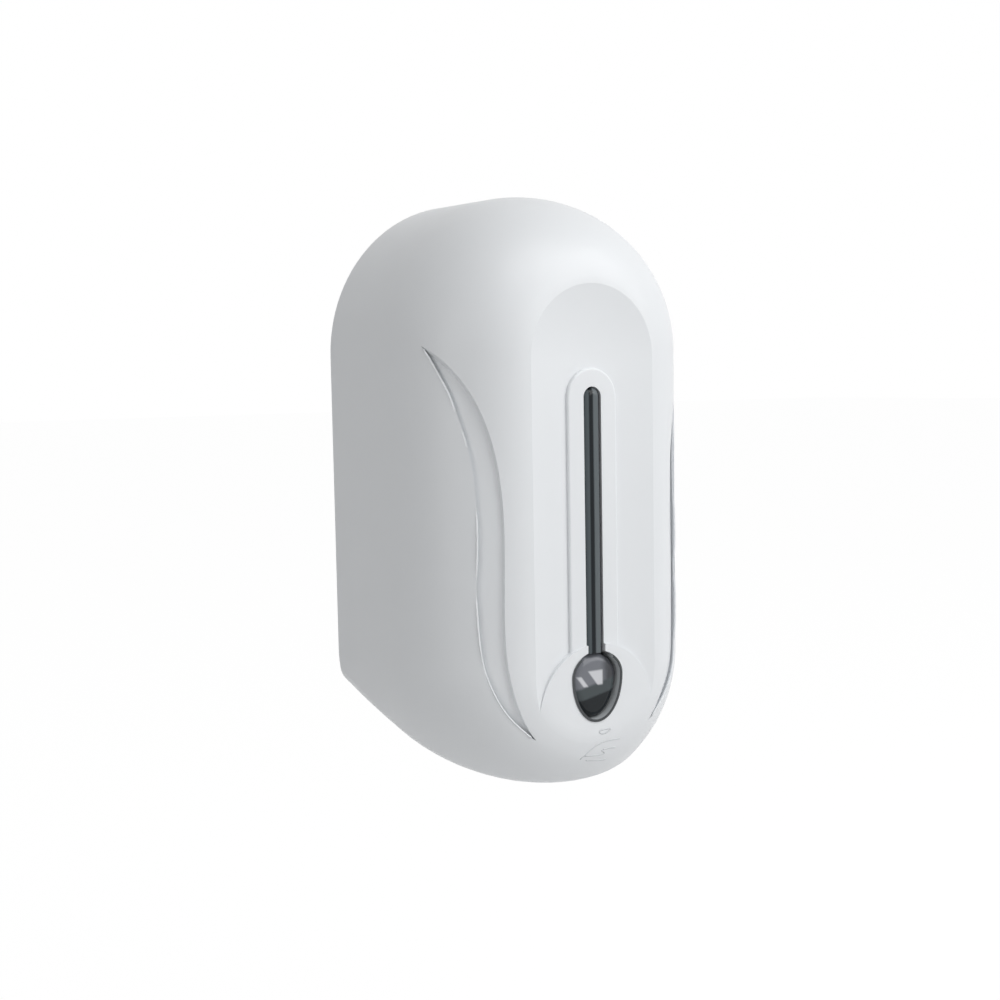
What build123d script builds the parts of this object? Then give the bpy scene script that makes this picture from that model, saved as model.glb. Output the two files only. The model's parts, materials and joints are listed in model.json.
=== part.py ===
"""Touchless wall mounted soap dispenser: a one-piece front cover that swings down from a wall chassis.

Frame: X to the viewer's right, -Y out of the wall, +Z up. The origin is the centre of the four wall
screw holes on the wall plane, which is also the centre of the rounded housing outline. All in mm.
"""
from build123d import *
import math
import os

# Housing form
body_width = 145.0          # side to side at the wall
body_depth = 110.2          # wall to the crest of the front
arc_height = 68.5           # the outline's two round ends are centred this far above and below the origin
front_flat = 28.5           # half width of the flat band at the crest
skirt_depth = 46.5          # straight drafted skirt, from the wall forward
skirt_draft = 1.6           # degrees a side
underside_fall = 18.0       # underside below the lower end's centre, at the wall
underside_slope = 21.8      # degrees down towards the front
underside_round = 9.0       # edge round between the underside and the skirt
cover_wall = 2.5
rear_gap = 1.5              # the cover's rear edge stands this far off the wall

# Front channel, raised strip and dome
channel_width = 66.0
channel_depth = 3.3
channel_head = 4.5          # centre of the channel's round top below the upper end's centre
channel_foot = 27.0         # channel's foot below the lower end's centre
dome_radius = 30.0
dome_drop = 20.5            # dome's centre below the lower end's centre
strip_width = 25.8
strip_head = 7.5            # strip's top below the upper end's centre
strip_set = 1.3             # strip face behind the crest
strip_round = 1.0           # round of the strip's front edges

# Side crescents: points as shares of the housing's half width and of the arc height
crescent_depth = 1.8
crescent_reach = 44.2       # the crescents lie this far behind the crest, at most
crescent_front = ((0.909, 1.042), (0.721, 0.676), (0.632, 0.292), (0.611, -0.584), (0.557, -1.153), (0.418, -1.431))
crescent_rear = ((0.909, 1.042), (0.799, 0.616), (0.743, 0.263), (0.734, -0.730), (0.676, -1.095), (0.418, -1.431))

# Level window and lens
window_width = 9.2
window_head = 8.0           # slot's top below the strip's top
window_set = 0.6            # window's face behind the crest
window_round = 3.0          # round of the rod's front edges
window_flange = 2.6         # flange behind the cover, past the slot on each side
window_flange_depth = 2.0
window_gap = 0.2
lens_half_width = 13.5
lens_drop = 4.8             # lens's widest place below the lower end's centre
lens_rise = 11.3            # lens above its widest place
lens_fall = 20.3            # lens below its widest place
bezel_gap = 0.15
bezel_wall = 1.2
bezel_proud = 0.5
bezel_length = 9.5
lens_set = 6.0              # lens rim behind the bezel's front edge
lens_crown = 4.2

# Cover hinge
hinge_back = 14.0           # hinge axis from the wall
hinge_rise = 1.3            # hinge axis above the underside at the wall
hinge_pin_radius = 2.0
hinge_clearance = 0.05
ear_radius = 5.0
ear_thickness = 4.0
ear_inset = 0.7             # ear from the edge of the cover's cut-out

# Spout housing in the cover's cut-out
spout_side = 43.1           # spout housing in from the housing's side
spout_front = 30.8          # spout housing's front behind the crest
spout_gap = 0.6
spout_wall = 2.4
spout_height = 6.0
spout_overrun = 2.0         # its outline runs this far past the wall plane before it is cut there

# Back plate
plate_gap = 1.2             # back plate inside the cover
plate_thickness = 3.0
plate_flange = 12.0
flange_thickness = 2.0
plate_rise = 17.3           # plate's lower edge above the underside at the wall
plate_corner = 9.0
tongue_length = 20.0        # plate's tongue down to the hinge
screw_spacing_x = 70.0
screw_spacing_z = 88.0
screw_hole_radius = 2.5
screw_boss_radius = 6.0
screw_boss_height = 3.0
lock_bay = 24.0             # gap in the flange around the lock

# Lock in the roof
lock_back = 16.0
lock_radius = 7.0
lock_length = 13.0
lock_hole_gap = 0.2
lock_below_roof = 0.3
barrel_radius = 5.0
barrel_clearance = 0.05
key_slot_length = 6.0
key_slot_width = 1.2
lock_nut_radius = 10.0
lock_nut_height = 3.0
cam_thickness = 2.5
cam_length = 11.0
cam_width = 6.0
cam_hub = 4.5
catch_gap = 1.0
catch_width = 7.0
catch_foot = 10.0
catch_thickness = 2.0

# Chassis shelf and tank
tank_gap = 3.5              # tank and chassis inside the cover
shelf_rise = 18.0           # shelf above the lower end's centre
shelf_thickness = 2.5
shelf_set = 5.0             # shelf's front behind the tank's
shelf_hole_gap = 1.2
tank_seat = 0.3
tank_back = 20.0
tank_front_gap = 7.4        # tank behind the channel's inner face
tank_rise = 28.0            # tank's top above the upper end's centre
tank_wall = 2.0
neck_offset = 5.5           # neck forward of the tank's middle
neck_radius = 19.0
neck_wall = 2.0
neck_height = 8.0
hook_width = 12.0
hook_spacing = 88.0
hook_thickness = 3.0
hook_rise = 7.5             # hooks above the upper end's centre
spigot_back = 27.0
spigot_radius = 6.0
spigot_bore = 4.0
spigot_length = 4.6

# Filler cap
cap_clearance = 0.5
cap_wall = 2.4
cap_top = 3.0
cap_lift = 1.0
gasket_thickness = 1.5
gasket_gap = 0.3
gasket_width = 3.0
grip_count = 20
grip_radius = 1.1

# Gear pump
pump_half_width = 18.0
pump_half_height = 12.0
pump_corner = 3.0
pump_back = 20.0
pump_depth = 14.0
pump_floor = 4.0
pump_lid = 2.5
gear_module = 1.25
gear_teeth = 12
pressure_angle = 25.0
backlash = 0.12
shaft_radius = 2.0
shaft_clearance = 0.05
bearing_floor = 1.0         # floor left behind the shaft bearings
gear_side_gap = 0.3
gear_tip_gap = 0.25
socket_gap = 0.2
port_radius = 2.5
train_module = 0.9
train_teeth = 24
pinion_teeth = 12
train_width = 5.0
train_gap = 1.5

# Motor
motor_radius = 11.5
motor_flat = 9.2            # half the motor's height between its two flats
motor_length = 28.0
motor_boss_radius = 5.75
motor_boss_height = 2.0
motor_shaft_radius = 1.5
motor_shaft_gap = 0.6
motor_gap = 0.2
motor_plate = 2.0
bracket_foot = 8.0          # bracket's foot, wider than the motor by this
bracket_foot_back = 3.0     # and deeper behind its plate by this

# Outlet
tube_radius = 2.5
tube_wall = 0.9
tube_bend = 4.5
tube_drop = 6.3
nozzle_back = 60.0
nozzle_radius = 5.0
nozzle_tip_radius = 3.4
nozzle_bore = 1.25
nozzle_proud = 8.0
nozzle_cone = 4.0
nozzle_flange = 7.0
nozzle_flange_height = 2.0
nozzle_rise = 6.34          # nozzle's seat above the underside
nozzle_clearance = 0.2

# Sensor
sensor_back = 42.0
sensor_width = 24.0
sensor_height = 8.0
sensor_gap = 0.2
sensor_flange = 1.5
diode_radius = 2.5
diode_length = 5.0
diode_spacing = 14.0
board_thickness = 1.4

# Battery compartment: four cells, two side by side and two deep
cell_length = 50.0
cell_gap = 0.2
cell_cap_radius = 2.4
battery_wall = 1.5
battery_side = 15.7         # compartment in from the housing's side
battery_overhang = 4.0      # compartment over the spout housing's edge
battery_back = 22.5
contact_thickness = 1.0
contact_width = 7.0
door_thickness = 2.0
door_gap = 0.3
door_corner = 5.0
door_grip_pitch = 4.0
door_grip_width = 1.0

# Electronics and switch
board_side = 13.5           # board in from the housing's side
board_width = 27.0
board_gap = 3.0             # board behind the switch
board_length = 46.0
board_drop = 9.0
post_radius = 2.0
chip_width = 13.5
chip_height = 1.4
can_radius = 3.5
can_height = 7.0
can_spacing = 9.0
part_offset = 11.5          # chip and cans from the board's middle
switch_side = 26.5          # switch in from the housing's side
switch_width = 16.0
switch_height = 8.0
switch_corner = 1.0
switch_depth = 8.0
switch_set = 17.0           # switch's back behind the shelf's front
knob_width = 4.0
knob_height = 3.4
knob_travel = 4.0
knob_gap = 0.3
knob_proud = 1.0
led_radius = 2.5
led_height = 1.4
led_set = 2.0               # indicator board behind the shelf's front
led_board_width = 20.0

body_radius = body_width / 2
skirt_half = body_radius - skirt_depth * math.tan(math.radians(skirt_draft))
slope = math.radians(underside_slope)
underside_drop = arc_height + underside_fall
underside = Plane(origin=(0, 0, -underside_drop), x_dir=(1, 0, 0), z_dir=(0, -math.sin(slope), math.cos(slope)))
channel_top = arc_height - channel_head
channel_bottom = -arc_height - channel_foot
dome_height = -arc_height - dome_drop
strip_top = arc_height - strip_head
window_top = strip_top - window_head
lens_widest = -arc_height - lens_drop
lens_top = lens_widest + lens_rise
lens_bottom = lens_widest - lens_fall
crescent_start = body_depth - crescent_reach
spout_width = body_width - 2 * spout_side
spout_length = (body_depth - spout_front) / math.cos(slope)
hinge_axis = (-hinge_back, hinge_rise - underside_drop)
front_inner = body_depth - channel_depth - cover_wall       # inner face behind the channel's floor
shelf_top = shelf_rise - arc_height
shelf_bottom = shelf_top - shelf_thickness
tank_front = front_inner - tank_front_gap
tank_top = arc_height + tank_rise
shelf_front = tank_front - shelf_set
switch_back = shelf_front - switch_set
board_back = switch_back - board_gap - board_length
neck_back = (tank_back + tank_front) / 2 + neck_offset
hook_height = arc_height + hook_rise
pump_height = shelf_bottom - pump_half_height
pitch_radius = gear_module * gear_teeth / 2
drive_x = -pitch_radius
motor_x = drive_x + train_module * (train_teeth + pinion_teeth) / 2
pump_front = pump_back + pump_depth + pump_lid
train_back = pump_front + train_gap
motor_plate_back = train_back + train_width + train_gap
motor_back = motor_plate_back + motor_plate


def underside_z(depth):
    """Height of the housing's underside at a distance from the wall."""
    return -underside_drop - depth * math.tan(slope)


def half_plan(inset):
    """Half of the housing's plan section, moved inwards by inset."""
    with BuildSketch() as plan:
        with BuildLine():
            Polyline((0, inset - body_depth), (0, 0), (body_radius - inset, 0), (skirt_half - inset, -skirt_depth))
            EllipticalCenterArc(
                (front_flat, -skirt_depth),
                skirt_half - inset - front_flat,
                body_depth - skirt_depth - inset,
                start_angle=270,
                arc_size=90,
            )
            Line((front_flat, inset - body_depth), (0, inset - body_depth))
        make_face()
    return plan.sketch


def housing_form(inset):
    """The smooth housing without its front detail, moved inwards by inset."""
    with BuildPart() as form:
        for height, turn in ((arc_height, -1), (-arc_height, 1)):
            with BuildSketch(Plane.XY.offset(height)):
                add(half_plan(inset))
            revolve(axis=Axis((0, 0, height), (0, turn, 0)), revolution_arc=180)
        with BuildSketch(Plane.XY.offset(-arc_height)):
            add(half_plan(inset))
            mirror(about=Plane.YZ)
        extrude(amount=2 * arc_height)
        split(bisect_by=underside.offset(inset), keep=Keep.TOP)
        sole = form.faces().sort_by(Axis.Z)[0]
        rim = sole.edges().filter_by(lambda edge: edge.center().Y < -rear_gap)
        fillet(rim, underside_round - inset)
    return form.part


def channel_form(inset):
    """What the concave front channel takes away: a hollow trough with a round top, around dome and strip."""
    hollow_radius = ((channel_width / 2) ** 2 + channel_depth**2) / (2 * channel_depth)
    centre = channel_depth - body_depth - hollow_radius
    chord = -body_depth - 1
    radius = hollow_radius + inset
    half_chord = math.sqrt(radius**2 - (chord - centre) ** 2)
    with BuildPart() as form:
        with BuildSketch(Plane.XY.offset(channel_top)):
            with BuildLine():
                ThreePointArc((-half_chord, chord), (0, centre + radius), (half_chord, chord))
                Line((half_chord, chord), (-half_chord, chord))
            make_face()
        extrude(amount=channel_bottom - channel_top)
        with BuildSketch(Plane.XY.offset(channel_top)) as half:
            with BuildLine():
                Line((0, chord), (0, centre + radius))
                RadiusArc((0, centre + radius), (half_chord, chord), radius)
                Line((half_chord, chord), (0, chord))
            make_face()
        revolve(axis=Axis((0, 0, channel_top), (0, -1, 0)), revolution_arc=180)
        with BuildSketch(Plane.XZ.offset(skirt_depth)):
            with Locations((0, dome_height)):
                Circle(dome_radius - inset)
        extrude(amount=body_depth, mode=Mode.SUBTRACT)
    return form.part


def strip_sketch(width, top, bottom):
    """An upright strip with a round top."""
    shoulder = top - width / 2
    with BuildSketch() as outline:
        with BuildLine():
            Polyline((-width / 2, shoulder), (-width / 2, bottom), (width / 2, bottom), (width / 2, shoulder))
            ThreePointArc((width / 2, shoulder), (0, top), (-width / 2, shoulder))
        make_face()
    return outline.sketch


def egg_sketch(inset):
    """The lens outline moved inwards by inset: broad above, narrow below."""
    half_width = lens_half_width - inset
    with BuildSketch() as outline:
        with BuildLine():
            EllipticalCenterArc(
                (0, lens_widest), half_width, lens_top - lens_widest - inset, start_angle=0, arc_size=180
            )
            EllipticalCenterArc(
                (0, lens_widest), half_width, lens_widest - lens_bottom - inset, start_angle=180, arc_size=180
            )
        make_face()
    return outline.sketch


def crescent_form(grow, depth):
    """The band under the housing's surface, depth thick, behind the two side crescents grown by grow."""
    smooth = housing_form(depth)
    with BuildPart() as form:
        with BuildSketch(Plane.XZ.offset(crescent_start)):
            with BuildLine():
                front = Spline(*[(-x * body_radius + grow, z * arc_height) for x, z in crescent_front])
                rear = Spline(*[(-x * body_radius - grow, z * arc_height) for x, z in crescent_rear])
                if grow:
                    Line(front @ 0, rear @ 0)
                    Line(front @ 1, rear @ 1)
            make_face()
            mirror(about=Plane.YZ)
        extrude(amount=body_depth)
        add(smooth, mode=Mode.SUBTRACT)
    return form.part


def spout_sketch(half_width, reach):
    """The spout housing's outline on the underside plane: straight from the wall, round at the front."""
    shoulder = half_width - reach
    with BuildSketch() as outline:
        with BuildLine():
            Polyline(
                (-half_width, shoulder),
                (-half_width, spout_overrun),
                (half_width, spout_overrun),
                (half_width, shoulder),
            )
            ThreePointArc((half_width, shoulder), (0, -reach), (-half_width, shoulder))
        make_face()
    return outline.sketch


def gear_sketch(module, teeth, turn):
    """A spur gear with involute flanks, thinned by the backlash, with a tooth at the angle turn in degrees."""
    pitch = module * teeth / 2
    base = pitch * math.cos(math.radians(pressure_angle))
    tip = pitch + module
    root = pitch - 1.25 * module

    def involute(radius):
        ratio = math.sqrt(max(0.0, (radius / base) ** 2 - 1))
        return ratio - math.atan(ratio)

    half_tooth = math.pi / (2 * teeth) - backlash / (2 * pitch)
    start = max(base, root)
    radii = [start + (tip - start) * step / 3 for step in range(4)]
    angles = [half_tooth + involute(pitch) - involute(radius) for radius in radii]
    lower = [(r * math.cos(a), -r * math.sin(a)) for r, a in zip(radii, angles)]
    upper = [(x, -y) for x, y in lower]
    foot = (root * 0.96, root * math.sin(angles[0]))
    with BuildSketch() as outline:
        Circle(root)
        with BuildSketch(mode=Mode.PRIVATE) as tooth:
            with BuildLine():
                Polyline((foot[0], -foot[1]), *lower)
                ThreePointArc(lower[-1], (tip, 0), upper[-1])
                Polyline(*reversed(upper), foot)
                Line(foot, (foot[0], -foot[1]))
            make_face()
        with PolarLocations(0, teeth, start_angle=turn):
            add(tooth.sketch)
    return outline.sketch


# ---- Front cover -------------------------------------------------------------------------------------
outer_form = housing_form(0)
crescent_cut = crescent_form(0, crescent_depth)
crescent_pad = crescent_form(cover_wall, cover_wall + crescent_depth)
inner_form = housing_form(cover_wall)
inner_channel = channel_form(cover_wall)

with BuildPart() as cavity:
    add(inner_form)
    add(inner_channel, mode=Mode.SUBTRACT)
    add(crescent_pad, mode=Mode.SUBTRACT)

with BuildPart() as strip:
    with BuildSketch(Plane.XZ.offset(skirt_depth)):
        add(strip_sketch(strip_width, strip_top, dome_height))
    extrude(amount=body_depth - strip_set - skirt_depth)
    fillet(strip.faces().sort_by(Axis.Y)[0].edges(), strip_round)

with BuildPart() as channel_recess:
    add(channel_form(0))
    add(strip.part, mode=Mode.SUBTRACT)

with BuildPart() as ear_pair:
    ear_start = spout_width / 2 + spout_gap + ear_inset
    for plane in (Plane.YZ.offset(ear_start), Plane.YZ.offset(-ear_start - ear_thickness)):
        with BuildSketch(plane):
            with Locations(hinge_axis):
                Circle(ear_radius)
                with Locations((-ear_radius / 4, -ear_radius)):
                    Rectangle(1.5 * ear_radius, 2 * ear_radius, rotation=underside_slope)
            with Locations(hinge_axis):
                Circle(hinge_pin_radius + hinge_clearance, mode=Mode.SUBTRACT)
        extrude(amount=ear_thickness)
    add(outer_form, mode=Mode.INTERSECT)

with BuildPart() as front_cover:
    add(outer_form)
    split(bisect_by=Plane.XZ.offset(rear_gap), keep=Keep.TOP)
    add(cavity.part, mode=Mode.SUBTRACT)
    add(channel_recess.part, mode=Mode.SUBTRACT)
    add(crescent_cut, mode=Mode.SUBTRACT)
    add(ear_pair.part)
    with BuildSketch(Plane.XZ.offset(skirt_depth)):
        add(strip_sketch(window_width, window_top, lens_widest))
        add(egg_sketch(0))
    extrude(amount=body_depth, mode=Mode.SUBTRACT)
    with BuildSketch(underside.offset(-spout_wall)):
        add(spout_sketch(spout_width / 2 + spout_gap, spout_length + spout_gap))
    extrude(amount=cover_wall + 2 * spout_wall, mode=Mode.SUBTRACT)
    with BuildSketch(Plane.XY.offset(arc_height)):
        with Locations((0, -lock_back)):
            Circle(lock_radius + lock_hole_gap)
    extrude(amount=body_width, mode=Mode.SUBTRACT)
front_cover.part.label = "front_cover"

# ---- Level window, bezel and lens on the cover ---------------------------------------------------------
window_face = body_depth - window_set
window_seat = front_inner - window_gap
with BuildPart() as level_window:
    with BuildSketch(Plane.XZ.offset(window_seat)):
        add(strip_sketch(window_width - 2 * window_gap, window_top - window_gap, lens_top - bezel_wall))
    extrude(amount=window_face - window_seat)
    rod_rim = level_window.faces().sort_by(Axis.Y)[0].edges()
    fillet(rod_rim.filter_by(lambda edge: edge.center().Z > lens_top), window_round)
    with BuildSketch(Plane.XZ.offset(window_seat)):
        flange_width = window_width + 2 * window_flange
        add(strip_sketch(flange_width, window_top + window_flange, lens_top + window_flange))
    extrude(amount=-window_flange_depth)
level_window.part.label = "level_window"

with BuildPart() as lens_bezel:
    with BuildSketch(Plane.XZ.offset(body_depth + bezel_proud)):
        add(egg_sketch(bezel_gap))
        add(egg_sketch(bezel_wall), mode=Mode.SUBTRACT)
    extrude(amount=-bezel_length - bezel_proud)
    with BuildSketch(Plane.XZ.offset(body_depth - cover_wall - window_gap)):
        add(egg_sketch(-bezel_wall))
        add(egg_sketch(bezel_wall), mode=Mode.SUBTRACT)
    extrude(amount=-bezel_wall)
    with BuildSketch(Plane.XZ.offset(body_depth - bezel_length)):
        add(egg_sketch(bezel_gap))
    extrude(amount=-bezel_wall)
    with BuildSketch(Plane.XZ.offset(front_inner - cover_wall - window_gap)):
        with Locations((0, lens_top)):
            Rectangle(flange_width + window_flange, 2 * window_flange + 2 * bezel_wall)
    extrude(amount=body_depth, mode=Mode.SUBTRACT)
lens_bezel.part.label = "lens_bezel"

lens_back = body_depth - bezel_length
with BuildPart() as indicator_lens:
    with BuildSketch(Plane.XZ.offset(lens_back)):
        add(egg_sketch(bezel_wall + window_gap))
    extrude(amount=bezel_length + bezel_proud - lens_set + lens_crown)
    fillet(indicator_lens.faces().sort_by(Axis.Y)[0].edges(), lens_crown)
indicator_lens.part.label = "indicator_lens"

# ---- Lock in the cover's roof ----------------------------------------------------------------------------
roof_radius = body_radius - lock_back * math.tan(math.radians(skirt_draft))
lock_top = arc_height + math.sqrt(roof_radius**2 - lock_radius**2) - lock_below_roof
lock_bottom = lock_top - lock_length
roof_inside = arc_height + math.sqrt((roof_radius - cover_wall) ** 2 - lock_nut_radius**2)
lock_centre = (0, -lock_back)

with BuildPart() as lock_housing:
    with BuildSketch(Plane.XY.offset(lock_bottom)):
        with Locations(lock_centre):
            Circle(lock_radius)
            Circle(barrel_radius + barrel_clearance, mode=Mode.SUBTRACT)
    extrude(amount=lock_length)
lock_housing.part.label = "lock_housing"

with BuildPart() as lock_nut:
    with BuildSketch(Plane.XY.offset(roof_inside - lock_hole_gap)):
        with Locations(lock_centre):
            RegularPolygon(lock_nut_radius, 6, major_radius=True)
            Circle(lock_radius, mode=Mode.SUBTRACT)
    extrude(amount=-lock_nut_height)
lock_nut.part.label = "lock_nut"

cam_top = lock_bottom - lock_hole_gap
with BuildPart() as lock_barrel:
    with BuildSketch(Plane.XY.offset(cam_top)):
        with Locations(lock_centre):
            Circle(barrel_radius)
    extrude(amount=lock_top - cam_top - lock_below_roof)
    with BuildSketch(Plane.XY.offset(lock_top - lock_below_roof)):
        with Locations(lock_centre):
            Rectangle(key_slot_length, key_slot_width)
    extrude(amount=-lock_nut_height, mode=Mode.SUBTRACT)
lock_barrel.part.label = "lock_barrel"

with BuildPart() as lock_cam:
    with BuildSketch(Plane.XY.offset(cam_top)):
        with Locations(lock_centre):
            Circle(cam_hub)
        with Locations((0, -lock_back + (cam_length - cam_width / 2) / 2)):
            Rectangle(cam_width, cam_length - cam_width / 2)
        with Locations((0, -lock_back + cam_length - cam_width / 2)):
            Circle(cam_width / 2)
    extrude(amount=-cam_thickness)
lock_cam.part.label = "lock_cam"

# ---- Back plate and hinge ----------------------------------------------------------------------------------
plate_radius = body_radius - cover_wall - plate_gap
plate_bottom = plate_rise - underside_drop
screw_centres = GridLocations(screw_spacing_x, screw_spacing_z, 2, 2)


def plate_outline(inset):
    """The back plate's outline inside the cover, moved inwards by inset."""
    radius = plate_radius - inset
    bottom = plate_bottom + inset
    with BuildSketch() as outline:
        with BuildLine():
            ThreePointArc((radius, arc_height), (0, arc_height + radius), (-radius, arc_height))
            FilletPolyline(
                (-radius, arc_height), (-radius, bottom), (radius, bottom), (radius, arc_height),
                radius=plate_corner - inset,
            )
        make_face()
    return outline.sketch


hook_places = (-hook_spacing / 2 - hook_width / 2, hook_spacing / 2 - hook_width / 2)
hook_reach = plate_thickness + 3 * hook_thickness
hook_lip = 2 * hook_thickness

with BuildPart() as plate_rim:
    with BuildSketch(Plane.XZ):
        add(plate_outline(0))
        add(plate_outline(flange_thickness), mode=Mode.SUBTRACT)
    extrude(amount=plate_flange)
    with BuildSketch(Plane.XZ):
        with Locations((0, arc_height + body_radius)):
            Rectangle(lock_bay, body_radius)
    extrude(amount=plate_flange, mode=Mode.SUBTRACT)
    with BuildSketch(Plane.XZ):
        with Locations((0, plate_bottom)):
            Rectangle(spout_width, 2 * flange_thickness)
    extrude(amount=plate_thickness, mode=Mode.SUBTRACT)
plate_rim.part.label = "plate_rim"

with BuildPart() as back_plate:
    with BuildSketch(Plane.XZ):
        add(plate_outline(flange_thickness))
        with Locations((0, plate_bottom + tongue_length)):
            Rectangle(spout_width, 3 * tongue_length, align=(Align.CENTER, Align.MAX))
    extrude(amount=plate_thickness)
    with BuildSketch(Plane.XZ.offset(plate_thickness)):
        with screw_centres:
            Circle(screw_boss_radius)
    extrude(amount=screw_boss_height)
    with BuildSketch(Plane.XZ):
        with screw_centres:
            Circle(screw_hole_radius)
    extrude(amount=plate_thickness + screw_boss_height, mode=Mode.SUBTRACT)
    for place in hook_places:
        with BuildSketch(Plane.YZ.offset(place)):
            with Locations((-plate_thickness, hook_height)):
                Rectangle(3 * hook_thickness, hook_thickness, align=(Align.MAX, Align.MAX))
            with Locations((-hook_reach, hook_height - hook_thickness)):
                Rectangle(hook_thickness, hook_thickness + hook_lip, align=(Align.MIN, Align.MIN))
        extrude(amount=hook_width)
    split(bisect_by=underside, keep=Keep.TOP)
back_plate.part.label = "back_plate"

spout_end = spout_width / 2
nozzle_seat = underside_z(nozzle_back) + nozzle_rise
with BuildPart() as spout_housing:
    with BuildSketch(underside):
        add(spout_sketch(spout_end, spout_length))
    extrude(amount=spout_height)
    with BuildSketch(underside.offset(spout_wall)):
        add(spout_sketch(spout_end - spout_wall, spout_length - spout_wall))
    extrude(amount=spout_height, mode=Mode.SUBTRACT)
    split(bisect_by=Plane.XZ.offset(plate_thickness), keep=Keep.TOP)
    with BuildSketch(Plane.XZ.offset(plate_thickness)):
        with Locations((0, underside_z(plate_thickness))):
            Rectangle(spout_width, spout_height * 2)
    extrude(amount=spout_wall)
    split(bisect_by=underside, keep=Keep.TOP)
    for side in (-1, 1):
        with BuildSketch(Plane.YZ.offset(side * spout_end)):
            with Locations(hinge_axis):
                Circle(ear_radius - hinge_clearance)
        extrude(amount=-side * (ear_thickness + spout_wall))
    split(bisect_by=underside, keep=Keep.TOP)
    with BuildSketch(Plane.YZ.offset(-spout_end)):
        with Locations(hinge_axis):
            Circle(hinge_pin_radius)
    extrude(amount=spout_width, mode=Mode.SUBTRACT)
    with BuildSketch(Plane.XY.offset(nozzle_seat)):
        with Locations((0, -nozzle_back)):
            Circle(nozzle_flange)
    extrude(amount=underside_z(nozzle_back + nozzle_flange) - nozzle_seat)
    split(bisect_by=underside, keep=Keep.TOP)
    with BuildSketch(Plane.XY.offset(nozzle_seat)):
        with Locations((0, -nozzle_back)):
            Circle(nozzle_radius + nozzle_clearance)
    extrude(amount=-underside_drop, mode=Mode.SUBTRACT)
    with BuildSketch(underside):
        with Locations((0, -sensor_back / math.cos(slope))):
            SlotOverall(sensor_width + 2 * sensor_gap, sensor_height + 2 * sensor_gap)
    extrude(amount=spout_wall, mode=Mode.SUBTRACT)
spout_housing.part.label = "spout_housing"

with BuildPart() as hinge_pins:
    pin_end = spout_end + spout_gap + ear_inset + ear_thickness
    for side in (-1, 1):
        with BuildSketch(Plane.YZ.offset(side * pin_end)):
            with Locations(hinge_axis):
                Circle(hinge_pin_radius)
        extrude(amount=-side * (pin_end - spout_end + spout_wall + ear_thickness))
hinge_pins.part.label = "hinge_pins"

catch_back = lock_back + cam_width / 2 + catch_gap
catch_left = cam_hub + catch_gap
cam_bottom = cam_top - cam_thickness
with BuildPart() as lock_catch:
    with BuildSketch(Plane.YZ.offset(catch_left)):
        with Locations((-plate_thickness, cam_bottom - catch_gap)):
            Rectangle(catch_thickness, catch_foot, align=(Align.MAX, Align.MAX))
            Rectangle(
                catch_back + catch_thickness - plate_thickness, catch_thickness, align=(Align.MAX, Align.MAX)
            )
        with Locations((-catch_back, cam_bottom - catch_gap - catch_thickness)):
            Rectangle(catch_thickness, catch_thickness + catch_gap + cam_thickness, align=(Align.MAX, Align.MIN))
    extrude(amount=catch_width)
lock_catch.part.label = "lock_catch"

# ---- Chassis shelf, tank and filler cap ----------------------------------------------------------------------
shelf_inset = cover_wall + tank_gap
board_middle = (body_radius - board_side - board_width / 2, -board_back - board_length / 2)


def shelf_plan(inset, back, front):
    """The housing's plan section moved inwards by inset, between two distances from the wall."""
    with BuildSketch() as plan:
        add(half_plan(inset))
        mirror(about=Plane.YZ)
        with Locations((0, -(back + front) / 2)):
            Rectangle(body_width, front - back, mode=Mode.INTERSECT)
    return plan.sketch


with BuildPart() as chassis_shelf:
    with BuildSketch(Plane.XY.offset(shelf_top)):
        add(shelf_plan(shelf_inset, plate_thickness, shelf_front))
    extrude(amount=-shelf_thickness)
    with BuildSketch(Plane.XY.offset(shelf_top)):
        with Locations((0, -spigot_back)):
            Circle(spigot_radius + shelf_hole_gap)
    extrude(amount=-shelf_thickness, mode=Mode.SUBTRACT)
    with BuildSketch(Plane.XY.offset(shelf_bottom)):
        with Locations(board_middle):
            with GridLocations(board_width - 4 * post_radius, board_length - 4 * post_radius, 2, 2):
                Circle(post_radius)
    extrude(amount=-board_drop)
chassis_shelf.part.label = "chassis_shelf"


def tank_form(inset, top):
    """The tank's shape moved inwards by inset: it follows the housing and is cut flat behind, before and above."""
    with BuildPart() as form:
        add(housing_form(shelf_inset + inset))
        with BuildSketch(Plane.XY.offset(shelf_top + tank_seat + inset)):
            with Locations((0, -(tank_back + tank_front) / 2)):
                Rectangle(body_width, tank_front - tank_back - 2 * inset)
        extrude(amount=top - shelf_top - tank_seat - inset, mode=Mode.INTERSECT)
    return form.part


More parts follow.
